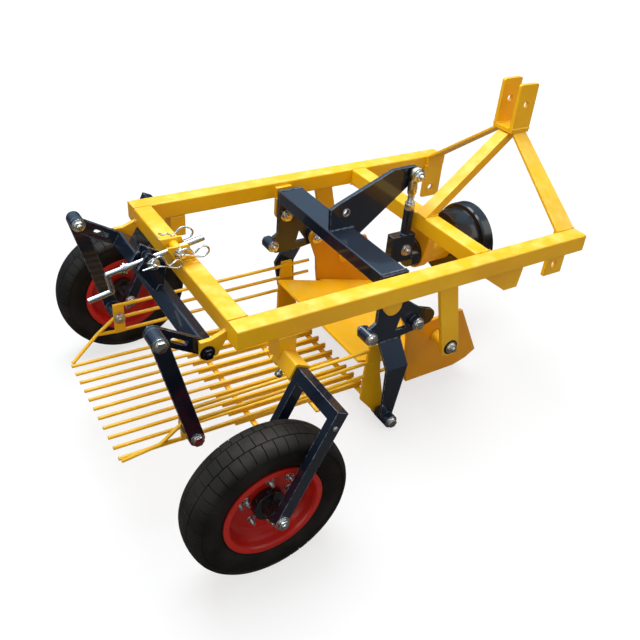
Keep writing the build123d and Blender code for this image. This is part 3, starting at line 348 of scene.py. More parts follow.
# PALE_YELLOW is painted light: the paler yellow that the tops of the yellows are mixed towards.
PALE_YELLOW = (0.95, 0.78, 0.26)
PAINT_SHINE = 0.35
COAT_ROUGHNESS = 0.06


def new_finish(name):
    """A material, its node tree and its surface shader."""
    material = bpy.data.materials.new(name)
    material.use_nodes = True
    return material, material.node_tree, material.node_tree.nodes["Principled BSDF"]


def place_group(tree, group, **values):
    """A group in a material, with its own values."""
    node = tree.nodes.new("ShaderNodeGroup")
    node.node_tree = group
    for name, value in values.items():
        node.inputs[name.replace("_", " ")].default_value = value
    return node


def mix_colour(tree, mask, a, b):
    """Mixes two colours by a mask."""
    node = tree.nodes.new("ShaderNodeMix")
    node.data_type = "RGBA"
    tree.links.new(mask, node.inputs["Factor"])
    feed(tree, node.inputs["A"], a)
    feed(tree, node.inputs["B"], b)
    return node.outputs["Result"]


def vary_roughness(tree, surface, mask, middle, spread):
    """Roughness that a mask moves up and down around a middle value."""
    rough = math_node(tree, "MULTIPLY", mask, spread)
    tree.links.new(math_node(tree, "ADD", rough, middle - spread / 2), surface.inputs["Roughness"])


def lay_ripple(tree, surface, drift, strength, distance, edges=None):
    """A very small bump from the ripple, over the soft edges where there are any."""
    bump = tree.nodes.new("ShaderNodeBump")
    bump.inputs["Strength"].default_value = strength
    bump.inputs["Distance"].default_value = distance
    tree.links.new(drift.outputs["Ripple"], bump.inputs["Height"])
    if edges:
        tree.links.new(edges.outputs["Normal"], bump.inputs["Normal"])
    tree.links.new(bump.outputs["Normal"], surface.inputs["Normal"])


def paint(name, colour, deep, worn_and_edge_sheen, roughness, coat, wear_and_edge_sheen_amount=0.3, dust_and_top_light_amount=0.03, dust_and_top_light_colour=OLD_DUST, radius=0.0028):
    """Sprayed paint: it drifts from colour to deep, is worn at the edges and dusty on top; the edge mask also
    paints a highlight on the blue-black, and the top mask paints the yellows' tops paler, both painted light.
    """
    material, tree, surface = new_finish(name)
    surface.inputs["Coat Weight"].default_value = coat
    surface.inputs["Coat Roughness"].default_value = COAT_ROUGHNESS
    surface.inputs["Specular IOR Level"].default_value = PAINT_SHINE
    edges = place_group(tree, edges_group, Radius=radius)
    drift = place_group(tree, drift_group, Drift_Scale=5.0, Ripple_Scale=260.0, Spot_Scale=90.0)
    dust_and_top_light_node = place_group(tree, dust_and_top_light_group, Amount=dust_and_top_light_amount)
    drifted = mix_colour(tree, map_range(tree, drift.outputs["Drift"], 0.35, 0.7), colour, deep)
    patches = map_range(tree, drift.outputs["Spots"], 0.35, 0.65)
    edge_wear_and_sheen = math_node(tree, "MULTIPLY", patches, edges.outputs["Edge"])
    edge_wear_and_sheen = math_node(tree, "MULTIPLY", edge_wear_and_sheen, wear_and_edge_sheen_amount)
    edged = mix_colour(tree, edge_wear_and_sheen, drifted, worn_and_edge_sheen)
    dusted_and_top_lit = mix_colour(tree, dust_and_top_light_node.outputs["Dust And Top Light"], edged, dust_and_top_light_colour)
    tree.links.new(dusted_and_top_lit, surface.inputs["Base Color"])
    vary_roughness(tree, surface, drift.outputs["Drift"], roughness, 0.12)
    lay_ripple(tree, surface, drift, 0.25, 0.00015, edges)
    return material


# The yellow's tops go towards PALE_YELLOW as painted light from the overhead lamp, not as dust.
yellow_paint = paint(
    "golden_yellow_paint", (0.85, 0.47, 0.003), (0.77, 0.38, 0.002), (0.95, 0.72, 0.24), 0.36, 0.08,
    dust_and_top_light_amount=0.42, dust_and_top_light_colour=PALE_YELLOW,
)
# The blade's yellow is brighter than its paint, as painted light for the shade under the frame; its tops go
# towards PALE_YELLOW as painted light too.
lit_blade_paint = paint(
    "blade_yellow_lit_paint", (1.0, 0.52, 0.001), (0.96, 0.46, 0.001), (0.95, 0.65, 0.18), 0.42, 0.0,
    dust_and_top_light_amount=0.2, dust_and_top_light_colour=PALE_YELLOW,
)
share_paint = paint(
    "share_yellow_paint", (0.76, 0.33, 0.003), (0.68, 0.27, 0.002), (0.90, 0.58, 0.14), 0.38, 0.1,
)
# The pale blue-grey edge colour, laid on strongly, is a painted edge highlight, not wear.
blue_black_paint = paint(
    "blue_black_paint", (0.004, 0.007, 0.015), (0.007, 0.014, 0.030), (0.36, 0.43, 0.54), 0.24, 0.7,
    wear_and_edge_sheen_amount=0.8, dust_and_top_light_amount=0.004, radius=0.0036,
)
red_paint = paint(
    "red_wheel_paint", (0.50, 0.010, 0.004), (0.40, 0.007, 0.003), (0.70, 0.10, 0.06), 0.40, 0.12, dust_and_top_light_amount=0.0,
)
black_paint = paint(
    "black_paint", (0.006, 0.006, 0.007), (0.010, 0.010, 0.011), (0.08, 0.08, 0.085), 0.28, 0.5,
    wear_and_edge_sheen_amount=0.4, dust_and_top_light_amount=0.01,
)
guard_paint = paint(
    "guard_black", (0.003, 0.003, 0.003), (0.006, 0.006, 0.005), (0.05, 0.05, 0.05), 0.26, 0.35,
    wear_and_edge_sheen_amount=0.4, dust_and_top_light_amount=0.0,
)
print("paints:", [m.name for m in bpy.data.materials if "floor" not in m.name])

# %% [markdown]
# The bolts, clips and the adjusting screw are zinc plated: a bright metal with a slightly blotchy
# sheen, and a yellow cast on some pieces. Plating is a metal, so its colour shows only in
# reflections, and the fine scratches go into roughness and a very small bump.

# %% Plated steel


def plated(name, colour, tinted, roughness):
    """Plating that drifts between two metal colours."""
    material, tree, surface = new_finish(name)
    surface.inputs["Metallic"].default_value = 1.0
    edges = place_group(tree, edges_group, Radius=0.0006)
    drift = place_group(tree, drift_group, Drift_Scale=26.0, Ripple_Scale=500.0, Spot_Scale=70.0)
    tint = map_range(tree, drift.outputs["Drift"], 0.35, 0.7)
    tree.links.new(mix_colour(tree, tint, colour, tinted), surface.inputs["Base Color"])
    vary_roughness(tree, surface, drift.outputs["Spots"], roughness, 0.16)
    lay_ripple(tree, surface, drift, 0.2, 0.00006, edges)
    return material


zinc = plated("zinc_plate", (0.76, 0.73, 0.67), (0.52, 0.49, 0.44), 0.25)
yellow_zinc = plated("yellow_zinc_plate", (0.66, 0.57, 0.38), (0.54, 0.41, 0.20), 0.28)
black_oxide = plated("black_oxide", (0.045, 0.045, 0.048), (0.030, 0.030, 0.032), 0.34)
bright_steel = plated("bright_steel", (0.50, 0.49, 0.48), (0.40, 0.38, 0.36), 0.34)
print("metals:", zinc.name, yellow_zinc.name, black_oxide.name, bright_steel.name)

# %% [markdown]
# Rubber is dark and dull. A fine noise breaks the highlight, and a coarser one greys the tread a
# little, as on a tyre that has stood in a yard. The highlight's tint is warm, because the blue sky
# of this studio would turn black rubber into slate.

# %% Rubber
rubber, rubber_tree, rubber_surface = new_finish("tyre_rubber")
rubber_surface.inputs["Specular IOR Level"].default_value = 0.25
rubber_surface.inputs["Specular Tint"].default_value = (1.0, 0.84, 0.70, 1.0)
rubber_drift = place_group(rubber_tree, drift_group, Drift_Scale=14.0, Ripple_Scale=520.0, Spot_Scale=60.0)
rubber_grey = map_range(rubber_tree, rubber_drift.outputs["Drift"], 0.42, 0.75)
rubber_colour = mix_colour(rubber_tree, rubber_grey, (0.0060, 0.0054, 0.0045), (0.0185, 0.0165, 0.0140))
rubber_tree.links.new(rubber_colour, rubber_surface.inputs["Base Color"])
vary_roughness(rubber_tree, rubber_surface, rubber_drift.outputs["Spots"], 0.595, 0.35)
lay_ripple(rubber_tree, rubber_surface, rubber_drift, 0.4, 0.0003)
print("rubber:", rubber.name)

# %% [markdown]
# Every CAD piece has the name of a slot in the imported record, such as yellow_paint, and each slot
# has one finish here. A few pieces look different from the rest of their slot on the real machine:
# the share's sides are more orange, the drive's guard is a deeper black, and the rod end and the
# adjusting screw are plated. The blade takes a brighter copy of the yellow, painted light that
# makes up for the shade under the frame.

# %% Finishes on the CAD nodes
SLOT_FINISH = {
    "yellow_paint": yellow_paint,
    "dark_paint": blue_black_paint,
    "red_paint": red_paint,
    "black_paint": black_paint,
    "bright_steel": bright_steel,
    "rubber_tread": rubber,
}
NODE_FINISH = {
    "share_blade": lit_blade_paint,
    "share_side_right": share_paint,
    "share_side_left": share_paint,
    "shaft_guard": guard_paint,
    "rod_end": yellow_zinc,
    "adjusting_screw": zinc,
}
slot_of = {entry["node"]: entry["material_slot"] for entry in frame["record"]["subparts"]}
for node_name, node in nodes.items():
    finish = NODE_FINISH.get(node_name, SLOT_FINISH[slot_of[node_name]])
    if not node.material_slots:
        node.data.materials.append(finish)
    for material_slot in node.material_slots:
        material_slot.material = finish
print("dressed CAD nodes:", len(nodes))

# %% [markdown]
# New pieces are made in a bmesh and turned into an object by one helper. A second helper joins
# small shapes into one piece, because an operator is quick on a small bmesh and slow on a big
# one.

# %% Making a piece
SHARP_ANGLE = math.radians(35)


def make_piece(name, bm, finish, body, sharp=SHARP_ANGLE):
    """An object from a bmesh in the machine's axes, riding on a body."""
    bmesh.ops.transform(bm, matrix=MACHINE, verts=bm.verts)
    bmesh.ops.recalc_face_normals(bm, faces=bm.faces)
    mesh = bpy.data.meshes.new(name)
    bm.to_mesh(mesh)
    bm.free()
    mesh.shade_smooth()
    mesh.set_sharp_from_angle(angle=sharp)
    mesh.materials.append(finish)
    obj = bpy.data.objects.new(name, mesh)
    bpy.context.scene.collection.objects.link(obj)
    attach(obj, body)
    print(name, "faces:", len(mesh.polygons))
    return obj


def absorb(bm, part):
    """Moves a small finished bmesh into a bigger one."""
    mesh = bpy.data.meshes.new("part")
    part.to_mesh(mesh)
    part.free()
    bm.from_mesh(mesh)
    bpy.data.meshes.remove(mesh)


# %% [markdown]
# The tyres have a worn road pattern: three rows of blocks with narrow slots between them, each row
# turned on a little from the next. A displaced texture would be soft and heavy, so the blocks are
# real. The section is drawn once as an edge loop and spun round the axle. The faces of each block
# are then one region, which inset_region pushes out with slightly leaning sides.

# %% Tyres
TYRE_SECTION = (
    (0.0398, 0.1132), (0.0398, 0.1262), (0.0420, 0.1282), (0.0428, 0.1300), (0.0424, 0.1322),
    (0.0440, 0.1350), (0.0470, 0.1420), (0.0492, 0.1510), (0.0500, 0.1600), (0.0497, 0.1690),
    (0.0484, 0.1765), (0.0470, 0.1800), (0.0452, 0.1836), (0.0410, 0.1878), (0.0350, 0.1912),
    (0.0270, 0.1938), (0.0180, 0.1955), (0.0090, 0.1965), (0.0, 0.1969),
)
PITCHES = 46
STEPS_PER_PITCH = 5
TREAD_INNER_R, TREAD_HALF_WIDTH = 0.1740, 0.0478
MIDDLE_ROW_HALF_WIDTH = 0.0135
ROW_SHIFTS = (0, 2, 4)
BLOCK_HEIGHT, BLOCK_MARGIN = 0.0032, 0.0011
TREAD_SHARP_ANGLE = math.radians(28)


def make_tyre(name, centre_y, node, body):
    """A tyre with tread blocks, in place of its CAD node."""
    bm = bmesh.new()
    outline = list(TYRE_SECTION) + [(-y, r) for y, r in reversed(TYRE_SECTION[:-1])]
    ring = [bm.verts.new((0.0, y, r)) for y, r in outline]
    edges = [bm.edges.new((a, b)) for a, b in zip(ring, ring[1:] + ring[:1])]
    steps = PITCHES * STEPS_PER_PITCH
    bmesh.ops.spin(
        bm, geom=ring + edges, cent=(0, 0, 0), axis=(0, 1, 0), angle=math.tau, steps=steps, use_merge=True,
    )
    bmesh.ops.recalc_face_normals(bm, faces=bm.faces)
    blocks = {}
    for face in bm.faces:
        middle = face.calc_center_median()
        if math.hypot(middle.x, middle.z) < TREAD_INNER_R or abs(middle.y) > TREAD_HALF_WIDTH:
            continue
        row = 1 + (middle.y > MIDDLE_ROW_HALF_WIDTH) - (middle.y < -MIDDLE_ROW_HALF_WIDTH)
        step = int((math.atan2(middle.x, middle.z) % math.tau) / math.tau * steps + ROW_SHIFTS[row])
        blocks.setdefault((row, step % steps // STEPS_PER_PITCH), []).append(face)
    for faces in blocks.values():
        bmesh.ops.inset_region(
            bm, faces=faces, thickness=BLOCK_MARGIN, depth=BLOCK_HEIGHT, use_even_offset=True,
        )
    bmesh.ops.translate(bm, vec=(WHEEL_X, centre_y, WHEEL_Z), verts=bm.verts)
    tyre = make_piece(name, bm, rubber, body, sharp=TREAD_SHARP_ANGLE)
    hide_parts(node)


for side, sign in SIDES:
    make_tyre(f"road_tyre_{side}", sign * WHEEL_Y, f"tyre_{side}", f"wheel_{side}")

# %% [markdown]
# A bolted joint is a washer, a six-sided head or nut with rounded edges, and often the end of
# the thread. Each shape is one cone or prism with a bevel, so a bolt stays light, and one function
# adds the whole set, facing any way. The thread is a small tooth that spin screws up round the
# bolt's core.

# %% Fasteners
BOLT_SIZE = 0.0142
WASHER_TO_BOLT, HEAD_TO_BOLT, THREAD_TO_BOLT = 1.26, 0.76, 0.54
THREAD_START_TO_BOLT = 0.74
WASHER_THICK = 0.0020
HEX_BEVEL = 0.07
THREAD_PITCH = 0.0016
STEPS_PER_TURN = 14


def up(distance):
    """A move along local +Z."""
    return Matrix.Translation((0, 0, distance))


def add_disc(bm, place, radius, thickness, segments=36, bevel=0.0004):
    """A flat round disc with softened rims."""
    part = bmesh.new()
    bmesh.ops.create_cone(
        part, cap_ends=True, segments=segments, radius1=radius, radius2=radius, depth=thickness,
        matrix=place @ up(thickness / 2),
    )
    rims = [edge for edge in part.edges if max(len(face.verts) for face in edge.link_faces) == segments]
    bmesh.ops.bevel(part, geom=rims, offset=bevel, segments=2, profile=0.5, affect="EDGES", material=-1)
    absorb(bm, part)


def add_hex(bm, place, radius, thickness):
    """A hexagon prism with rounded edges and a corner up, as on the CAD bolts."""
    part = bmesh.new()
    corner_up = Matrix.Rotation(math.pi / 2, 4, "Z")
    bmesh.ops.create_cone(
        part, cap_ends=True, segments=6, radius1=radius, radius2=radius, depth=thickness,
        matrix=place @ up(thickness / 2) @ corner_up,
    )
    offset = radius * HEX_BEVEL
    bmesh.ops.bevel(
        part, geom=part.edges[:], offset=offset, segments=2, profile=0.5, affect="EDGES", material=-1,
    )
    absorb(bm, part)


def add_thread(bm, place, radius, length):
    """A threaded bar end: a core, and a tooth that winds up round it."""
    core, root = radius * 0.9, radius * 0.873
    part = bmesh.new()
    bmesh.ops.create_cone(
        part, cap_ends=True, segments=20, radius1=core, radius2=core * 0.9, depth=length,
        matrix=up(length / 2),
    )
    turns = max(1, int(length / THREAD_PITCH) - 1)
    profile = ((root, 0, 0), (radius, 0, THREAD_PITCH * 0.4), (root, 0, THREAD_PITCH * 0.8))
    tooth = part.faces.new([part.verts.new(corner) for corner in profile])
    bmesh.ops.spin(
        part, geom=[tooth], cent=(0, 0, 0), axis=(0, 0, 1), dvec=(0, 0, THREAD_PITCH / STEPS_PER_TURN),
        angle=math.tau * turns, steps=STEPS_PER_TURN * turns, use_merge=False,
    )
    bmesh.ops.transform(part, matrix=place, verts=part.verts)
    absorb(bm, part)


def add_bolt_head(bm, place, size=BOLT_SIZE):
    """Washer and head."""
    add_disc(bm, place, size * WASHER_TO_BOLT, WASHER_THICK)
    add_hex(bm, place, size, size * HEAD_TO_BOLT)


def add_nut_end(bm, place, size=BOLT_SIZE, proud=0.007):
    """Washer, nut and the end of the thread."""
    add_bolt_head(bm, place, size)
    add_thread(bm, place @ up(size * THREAD_START_TO_BOLT), size * THREAD_TO_BOLT, proud)


def beside(pivot, sign, y, out=1):
    """A place at a pivot on one side of the machine, facing outwards or inwards."""
    x, z = pivot
    return facing((x, sign * y, z), (0, sign * out, 0))


print("bolt size:", BOLT_SIZE)

# %% [markdown]
# The bolts stand where the CAD model has its pivots, so the pivots are named once, as x and z, and
# each body has a table of where its heads and nuts sit along y. A bolt that turns with the rocker
# rides on the rocker, and one that stays in the frame rides on the frame.

# %% Bolts of the frame, rocker and links
EYE_REAR, EYE_FRONT, FOOT = (0.413, -0.188), (0.564, -0.184), (0.503, -0.490)
LINK_TOP, LINK_LOW, TILT_PIVOT = (-0.158, -0.005), (-0.083, -0.303), (-0.046, -0.074)
SHARE_PIN, ROCKER_PIN, LEVER_PIN = (0.674, -0.278), (0.463, -0.096), (0.704, 0.115)
HEAD, NUT = add_bolt_head, add_nut_end
OUT, IN = 1, -1


def bolt_rows(name, rows, finish, body):
    """One piece with a head or nut on both sides for each row."""
    bm = bmesh.new()
    for pivot, y, out, add in rows:
        for sign in SIGNS:
            add(bm, beside(pivot, sign, y, out))
    make_piece(name, bm, finish, body)


bolt_rows("rocker_bolts", (
    (EYE_REAR, 0.287, OUT, HEAD), (EYE_REAR, 0.247, IN, NUT),
    (EYE_FRONT, 0.287, OUT, HEAD), (EYE_FRONT, 0.234, IN, NUT),
    (FOOT, 0.314, OUT, HEAD), (FOOT, 0.240, IN, NUT),
), zinc, "rocker")
bolt_rows("frame_bolts", (
    (SHARE_PIN, 0.3165, OUT, NUT), (LINK_TOP, 0.312, OUT, HEAD), (LINK_TOP, 0.262, IN, NUT),
), zinc, "frame")
bolt_rows("rear_lug_bolts", ((TILT_PIVOT, 0.292, OUT, NUT),), black_oxide, "frame")

bm = bmesh.new()
for sign in SIGNS:
    add_disc(bm, beside(SHARE_PIN, sign, 0.315), 0.0225, 0.0024)
make_piece("share_pin_washers", bm, black_oxide, "frame")

bm = bmesh.new()
for sign in SIGNS:
    inward = beside(ROCKER_PIN, sign, 0.2618, IN)
    add_disc(bm, inward, 0.0195, 0.0025)
    add_hex(bm, inward, 0.0172, 0.0135)
    add_thread(bm, inward @ up(0.0132), 0.0098, 0.006)
make_piece("rocker_pivot_nuts", bm, zinc, "frame")

for side, sign in SIDES:
    bm = bmesh.new()
    add_bolt_head(bm, beside(LINK_LOW, sign, 0.311))
    add_nut_end(bm, beside(LINK_LOW, sign, 0.238, IN), proud=0.005)
    make_piece(f"link_bolt_{side}", bm, zinc, f"link_{side}")

# %% [markdown]
# Each wheel is a pair of pressed dishes. Three bolts hold them together near the rim and five hold
# them to the black hub drum, and they show long thread ends outside and their heads inside.
# The fork is clamped in its sleeve by a bolt from below, and the axle ends in a large nut.

# %% Wheel bolts
AXLE = (WHEEL_X, WHEEL_Z)
RIM_RING = (3, 0.0755, 40.0)
HUB_RING = (5, 0.0580, 12.0)
WHEEL_BOLT_SIZE = 0.0090
DISC_FACE = 0.0052
DRUM_START, DRUM_R, DRUM_LENGTH = 0.0048, 0.0405, 0.0232
SLEEVE_BOLT, SLEEVE_BOLT_WAY = (0.1096, -0.1274), (-0.437, 0, -0.899)
FORK_SCREW = (0.116, -0.135)

for side, sign in SIDES:
    bm = bmesh.new()
    for count, radius, first in (RIM_RING, HUB_RING):
        for number in range(count):
            turn = math.radians(first) + math.tau * number / count
            bolt = (WHEEL_X + radius * math.cos(turn), WHEEL_Z + radius * math.sin(turn))
            add_nut_end(bm, beside(bolt, sign, WHEEL_Y + DISC_FACE), WHEEL_BOLT_SIZE, proud=0.013)
            add_bolt_head(bm, beside(bolt, sign, WHEEL_Y - DISC_FACE, IN), WHEEL_BOLT_SIZE)
    make_piece(f"rim_bolts_{side}", bm, zinc, f"wheel_{side}")

    bm = bmesh.new()
    for out in (IN, OUT):
        drum = beside(AXLE, sign, WHEEL_Y + out * DRUM_START, out)
        add_disc(bm, drum, DRUM_R, DRUM_LENGTH, segments=64, bevel=0.003)
    make_piece(f"hub_drum_{side}", bm, black_paint, f"wheel_{side}")

    bm = bmesh.new()
    add_nut_end(bm, beside(AXLE, sign, 0.5695), proud=0.004)
    add_nut_end(bm, beside(AXLE, sign, 0.403, IN))
    clamp = facing((SLEEVE_BOLT[0], sign * 0.352, SLEEVE_BOLT[1]), SLEEVE_BOLT_WAY)
    add_disc(bm, clamp, 0.0055, 0.014)
    add_hex(bm, clamp @ up(0.0130), 0.0100, 0.0090)
    add_bolt_head(bm, beside(FORK_SCREW, sign, 0.5698), 0.0050)
    make_piece(f"fork_bolts_{side}", bm, zinc, "frame")

# %% [markdown]
# The rod end is a forged eye round a polished ball, with a neck, a lock nut and a thread below.
# Such round shapes are turned on a lathe. The outline is drawn once, as distances along and from
# the axis, and spin carries it round, with its ends on the axis or closed to a ring.

# %% Rod end and lever
ROD_X, ROD_Y = LEVER_PIN[0] - 0.010, -0.029
LEVER_HOLE = (0.487, 0.034)
CRANK_BOLT = (0.693, -0.113)
NECK = ((0.058, 0.0), (0.058, 0.0110), (0.064, 0.0135), (0.080, 0.0140), (0.098, 0.0118), (0.100, 0.0))
EYE_RING = (
    (-0.0090, 0.0125), (-0.0090, 0.0185), (-0.0070, 0.0215), (-0.0030, 0.0228), (0.0030, 0.0228),
    (0.0070, 0.0215), (0.0090, 0.0185), (0.0090, 0.0125), (0.0, 0.0120), (-0.0090, 0.0125),
)
HALF_BALL = ((0.0, 0.0124), (0.0060, 0.0122), (0.0100, 0.0100), (0.0112, 0.0084), (0.0112, 0.0), (0.0, 0.0))
HOLE_RIM = (
    (0.0, 0.0088), (0.0, 0.0121), (0.0004, 0.0125), (0.0008, 0.0125), (0.0012, 0.0121), (0.0012, 0.0088),
    (0.0, 0.0088),
)
LATHE_STEPS = 40


def add_lathe(bm, place, outline):
    """A turned part from its outline, as (along, radius)."""
    part = bmesh.new()
    ring = [part.verts.new((radius, 0.0, along)) for along, radius in outline]
    edges = [part.edges.new((a, b)) for a, b in zip(ring, ring[1:])]
    bmesh.ops.spin(
        part, geom=ring + edges, cent=(0, 0, 0), axis=(0, 0, 1), angle=math.tau, steps=LATHE_STEPS,
        use_merge=True,
    )
    bmesh.ops.remove_doubles(part, verts=part.verts, dist=0.000001)
    bmesh.ops.recalc_face_normals(part, faces=part.faces)
    bmesh.ops.transform(part, matrix=place, verts=part.verts)
    absorb(bm, part)


def on_rod(z):
    """A place on the connecting rod's axis, facing up along it."""
    return facing((ROD_X, ROD_Y, z), (0, 0, 1))


def across(pivot, y, way=-1):
    """A place at a pivot, facing right or left."""
    x, z = pivot
    return facing((x, y, z), (0, way, 0))


bm = bmesh.new()
add_lathe(bm, on_rod(0.0), NECK)
add_lathe(bm, across(LEVER_PIN, ROD_Y), EYE_RING)
make_piece("rod_end_eye", bm, yellow_zinc, "connecting_rod")

bm = bmesh.new()
for way in SIGNS:
    add_lathe(bm, across(LEVER_PIN, ROD_Y, way), HALF_BALL)
add_hex(bm, on_rod(0.0142), 0.0162, 0.0185)
add_disc(bm, on_rod(0.0335), 0.0125, 0.0030)
add_thread(bm, on_rod(0.0360), 0.0100, 0.0240)
add_nut_end(bm, across(CRANK_BOLT, -0.044))
make_piece("connecting_rod_steel", bm, zinc, "connecting_rod")

bm = bmesh.new()
add_nut_end(bm, across(LEVER_PIN, -0.0385), proud=0.008)
add_bolt_head(bm, across(LEVER_PIN, -0.003, 1))
add_lathe(bm, across(LEVER_HOLE, -0.0148), HOLE_RIM)
make_piece("lever_steel", bm, zinc, "rocker")

# %% [markdown]
# The adjusting screw is turned by the crank at its rear and moves the tilt frame. The CAD model
# has its plain bar, which slopes up to the front. A collar and a stretch of thread are added to it
# behind the rear block, and more thread in front of the front block, all along the same slope.

# %% Adjusting screw
SCREW_BACK = Vector((-0.168, 0.0, -0.006))
SCREW_SLOPE = Vector((0.244, 0.0, 0.046)).normalized()
SCREW_THREAD_R = 0.0078
COLLAR = (
    (0.0, 0.0), (0.0, 0.0095), (0.0030, 0.0100), (0.0060, 0.0100), (0.0060, 0.0135), (0.0068, 0.0142),
    (0.0105, 0.0142), (0.0113, 0.0135), (0.0113, 0.0098), (0.0190, 0.0095), (0.0200, 0.0085), (0.0200, 0.0),
)


def along_screw(x):
    """A place on the adjusting screw's axis at one x, facing forward along it."""
    return facing(SCREW_BACK + SCREW_SLOPE * ((x - SCREW_BACK.x) / SCREW_SLOPE.x), SCREW_SLOPE)


bm = bmesh.new()
add_lathe(bm, along_screw(-0.134), COLLAR)
add_thread(bm, along_screw(-0.112), SCREW_THREAD_R, 0.018)
add_thread(bm, along_screw(0.030), SCREW_THREAD_R, 0.046)
make_piece("screw_collar_and_thread", bm, zinc, "frame")

# %% [markdown]
# Spring clips are bent from one wire: a straight leg goes through the pin, and the other leg waves
# over it and ends in a ring. A curve object would do, but a bmesh gives a clean mesh at once. A
# smooth path is laid through a few points, a small circle is set at its start, and the circle is
# extruded from point to point and turned into every bend.

# %% Wire


def smooth_path(points, steps=6):
    """Points of a Catmull-Rom curve through the given ones."""
    knots = [Vector(p) for p in points]
    knots = [knots[0] * 2 - knots[1]] + knots + [knots[-1] * 2 - knots[-2]]
    path = []
    for a, b, c, d in zip(knots, knots[1:], knots[2:], knots[3:]):
        for step in range(steps):
            s = step / steps
            square = (2 * a - 5 * b + 4 * c - d) * s * s
            cube = (3 * b - a - 3 * c + d) * s ** 3
            path.append(0.5 * (2 * b + (c - a) * s + square + cube))
    path.append(knots[-2])
    return path


def add_wire(bm, path, radius, segments=10):
    """A round wire along a path."""
    part = bmesh.new()
    aim = (path[1] - path[0]).normalized()
    turn = aim.to_track_quat("Z", "Y")
    place = Matrix.Translation(path[0]) @ turn.to_matrix().to_4x4()
    made = bmesh.ops.create_circle(part, cap_ends=False, segments=segments, radius=radius, matrix=place)
    edges = list({edge for vert in made["verts"] for edge in vert.link_edges})
    for number in range(1, len(path)):
        new_aim = (path[min(number + 1, len(path) - 1)] - path[number - 1]).normalized()
        turn = aim.rotation_difference(new_aim) @ turn
        aim = new_aim
        new_place = Matrix.Translation(path[number]) @ turn.to_matrix().to_4x4()
        grown = bmesh.ops.extrude_edge_only(part, edges=edges)["geom"]
        verts = [item for item in grown if isinstance(item, bmesh.types.BMVert)]
        edges = [item for item in grown if isinstance(item, bmesh.types.BMEdge)]
        bmesh.ops.transform(part, matrix=new_place @ place.inverted(), verts=verts)
        place = new_place
    open_edges = [edge for edge in part.edges if edge.is_boundary]
    bmesh.ops.holes_fill(part, edges=open_edges, sides=segments)
    absorb(bm, part)


# %% [markdown]
# Two pins hold the screw's front block in the bracket's eyes and one holds the rear block. Each
# has a clip through its end. The paths of the three clips are read off the real ones, as x and z
# in millimetres, and the two legs of a clip lie side by side, a wire's thickness apart.

# %% Spring clips
REAR_CLEVIS, FRONT_CLEVIS = (-0.064, 0.0136), (0.004, 0.0264)
CLEVIS_FACE_Y = 0.0355
PIN_HEAD_DEPTH = 0.009
CLIP_PLANE, CLIP_STEP, CLIP_WIRE_R = 0.0062, 0.0024, 0.0024
CLIPS = (
    (-1, REAR_CLEVIS, (
        (-95, 8), (-80, 10), (-64, 11), (-40, 6), (-20, -1), (-6, -5), (2, 2), (0, 13), (-9, 19),
        (-20, 15), (-31, 9), (-38, 17), (-44, 31), (-53, 39), (-64, 35), (-72, 25), (-84, 28),
    )),
    (-1, FRONT_CLEVIS, (
        (-16, 36), (-6, 30), (4, 26), (24, 22), (46, 14), (60, 13), (72, 22), (70, 34), (58, 41),
        (46, 40), (36, 31), (30, 30), (24, 38), (14, 45), (3, 44), (-5, 38), (-14, 44),
    )),
    (1, FRONT_CLEVIS, (
        (-28, 38), (-12, 32), (4, 26), (24, 22), (44, 24), (60, 29), (64, 40), (56, 51), (42, 55),
        (28, 50), (20, 42), (14, 36), (6, 40), (-2, 46), (-12, 44), (-22, 50),
    )),
)


def add_pin_head(bm, place):
    """The flange and the round head of a clevis pin."""
    add_disc(bm, place, 0.0150, 0.0022)
    add_disc(bm, place, 0.0136, 0.0100, bevel=0.0012)


bm = bmesh.new()
for out, clevis, points in CLIPS:
    face_y = out * CLEVIS_FACE_Y
    pin = across(clevis, face_y - out * PIN_HEAD_DEPTH, out)
    add_pin_head(bm, pin)
    add_disc(bm, pin, 0.0052, 0.0200, bevel=0.0012)
    middle = len(points) / 2
    path = []
    for number, (x, z) in enumerate(points):
        leg = math.copysign(CLIP_STEP, number - middle)
        path.append((x / 1000, face_y + out * (CLIP_PLANE + leg), z / 1000))
    add_wire(bm, smooth_path(path), CLIP_WIRE_R)
add_pin_head(bm, across(REAR_CLEVIS, CLEVIS_FACE_Y - PIN_HEAD_DEPTH, 1))
make_piece("clevis_pins_and_clips", bm, zinc, "frame")

# %% [markdown]
# Everything on the frame is welded, and the beads show as rows of small overlapping scales. A
# squashed sphere is one scale. A row of them along a line, each a little different by chance with
# a fixed seed, looks like a hand-laid bead, and takes the paint of what it joins.

# %% Weld beads
BEAD_R, BEAD_STEP = 0.0034, 0.0034
chance = random.Random(7)


def add_weld(bm, start, end, radius=BEAD_R):
    """A row of overlapping scales between two points."""
    start, end = Vector(start), Vector(end)
    run = end - start
    count = max(2, int(run.length / BEAD_STEP))
    aim = run.to_track_quat("Z", "Y").to_matrix().to_4x4()
    part = bmesh.new()
    for number in range(count + 1):
        shift = Vector([chance.uniform(-0.0004, 0.0004) for _ in range(3)])
        swell = radius * chance.uniform(0.88, 1.12)
        place = Matrix.Translation(start + run * (number / count) + shift) @ aim
        shape = Matrix.Diagonal((swell, swell, swell * 0.9, 1.0))
        bmesh.ops.create_uvsphere(part, u_segments=8, v_segments=5, radius=1.0, matrix=place @ shape)
    absorb(bm, part)


def weld_along_x(bm, y, z, start_x, end_x, radius=BEAD_R):
    """A bead that runs forward."""
    add_weld(bm, (start_x, y, z), (end_x, y, z), radius)


print("bead width:", 2 * BEAD_R)

# %% [markdown]
# The beads follow the seams of the CAD model: where the bars and plates meet the rails, where legs,
# lugs and sleeves hang below them, and where the clevis stands on its plate. Each seam is a line
# between two points on the seam's corner, given once and laid on both sides.

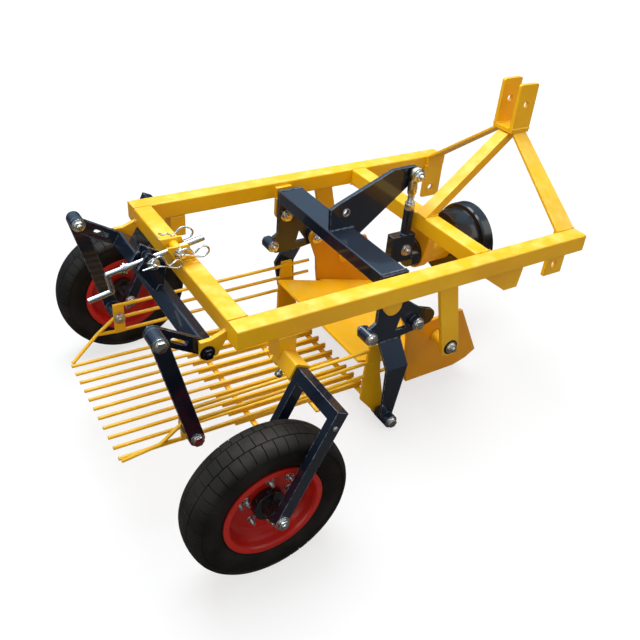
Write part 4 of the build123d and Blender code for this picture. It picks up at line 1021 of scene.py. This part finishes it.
# %% Welds of the frame
TUBE = 0.050
FRONT_BAR_X = 0.716
RAIL_INNER_Y = 0.295
UNDER_RAIL = -0.0505

bm = bmesh.new()
for sign in SIGNS:
    inner = sign * RAIL_INNER_Y
    for bar_x in (0.0, FRONT_BAR_X):
        weld_along_x(bm, inner, 0.0, bar_x + 0.003, bar_x + 0.047, 0.0026)
        add_weld(bm, (bar_x + TUBE, inner, -0.004), (bar_x + TUBE, inner, -0.046))
    weld_along_x(bm, inner, 0.0, 1.024, 1.084)
    for leg_y in (0.303, 0.315):
        weld_along_x(bm, sign * leg_y, UNDER_RAIL, 0.590, 0.648)
    weld_along_x(bm, sign * 0.283, -0.048, 0.438, 0.488)
    weld_along_x(bm, sign * 0.0395, 0.2045, 1.030, 1.095)
    weld_along_x(bm, sign * 0.0265, 0.2055, 1.030, 1.095)
    weld_along_x(bm, sign * 0.345, UNDER_RAIL, 0.104, 0.148)
    add_weld(bm, (0.0, sign * 0.280, -0.032), (0.0, sign * 0.280, -0.049))
    weld_along_x(bm, inner, UNDER_RAIL, FRONT_BAR_X, 0.906)
    weld_along_x(bm, sign * 0.0268, 0.0005, 0.004, 0.043)
for brace_y in (-0.0745, -0.0355):
    weld_along_x(bm, brace_y, 0.0005, 0.728, 0.764)
make_piece("frame_welds", bm, yellow_paint, "frame")

# %% [markdown]
# On the rocker the plates are welded to the ends of the square tube, the hangers to the plates and
# the lever to the middle of the tube. These beads swing with the rocker and take its blue-black.

# %% Welds of the rocker
PLATE_INNER_Y, HANGER_Y, LEVER_SIDE_Y = 0.2622, 0.272, -0.0155
PLATE_BEAD_R = 0.0028

bm = bmesh.new()
for sign in SIGNS:
    y = sign * PLATE_INNER_Y
    weld_along_x(bm, y, -0.014, 0.438, 0.512, PLATE_BEAD_R)
    add_weld(bm, (0.516, y, -0.018), (0.516, y, -0.052), PLATE_BEAD_R)
    weld_along_x(bm, sign * HANGER_Y, -0.2222, 0.454, 0.520, PLATE_BEAD_R)
weld_along_x(bm, LEVER_SIDE_Y, -0.0135, 0.442, 0.514)
make_piece("rocker_welds", bm, blue_black_paint, "rocker")
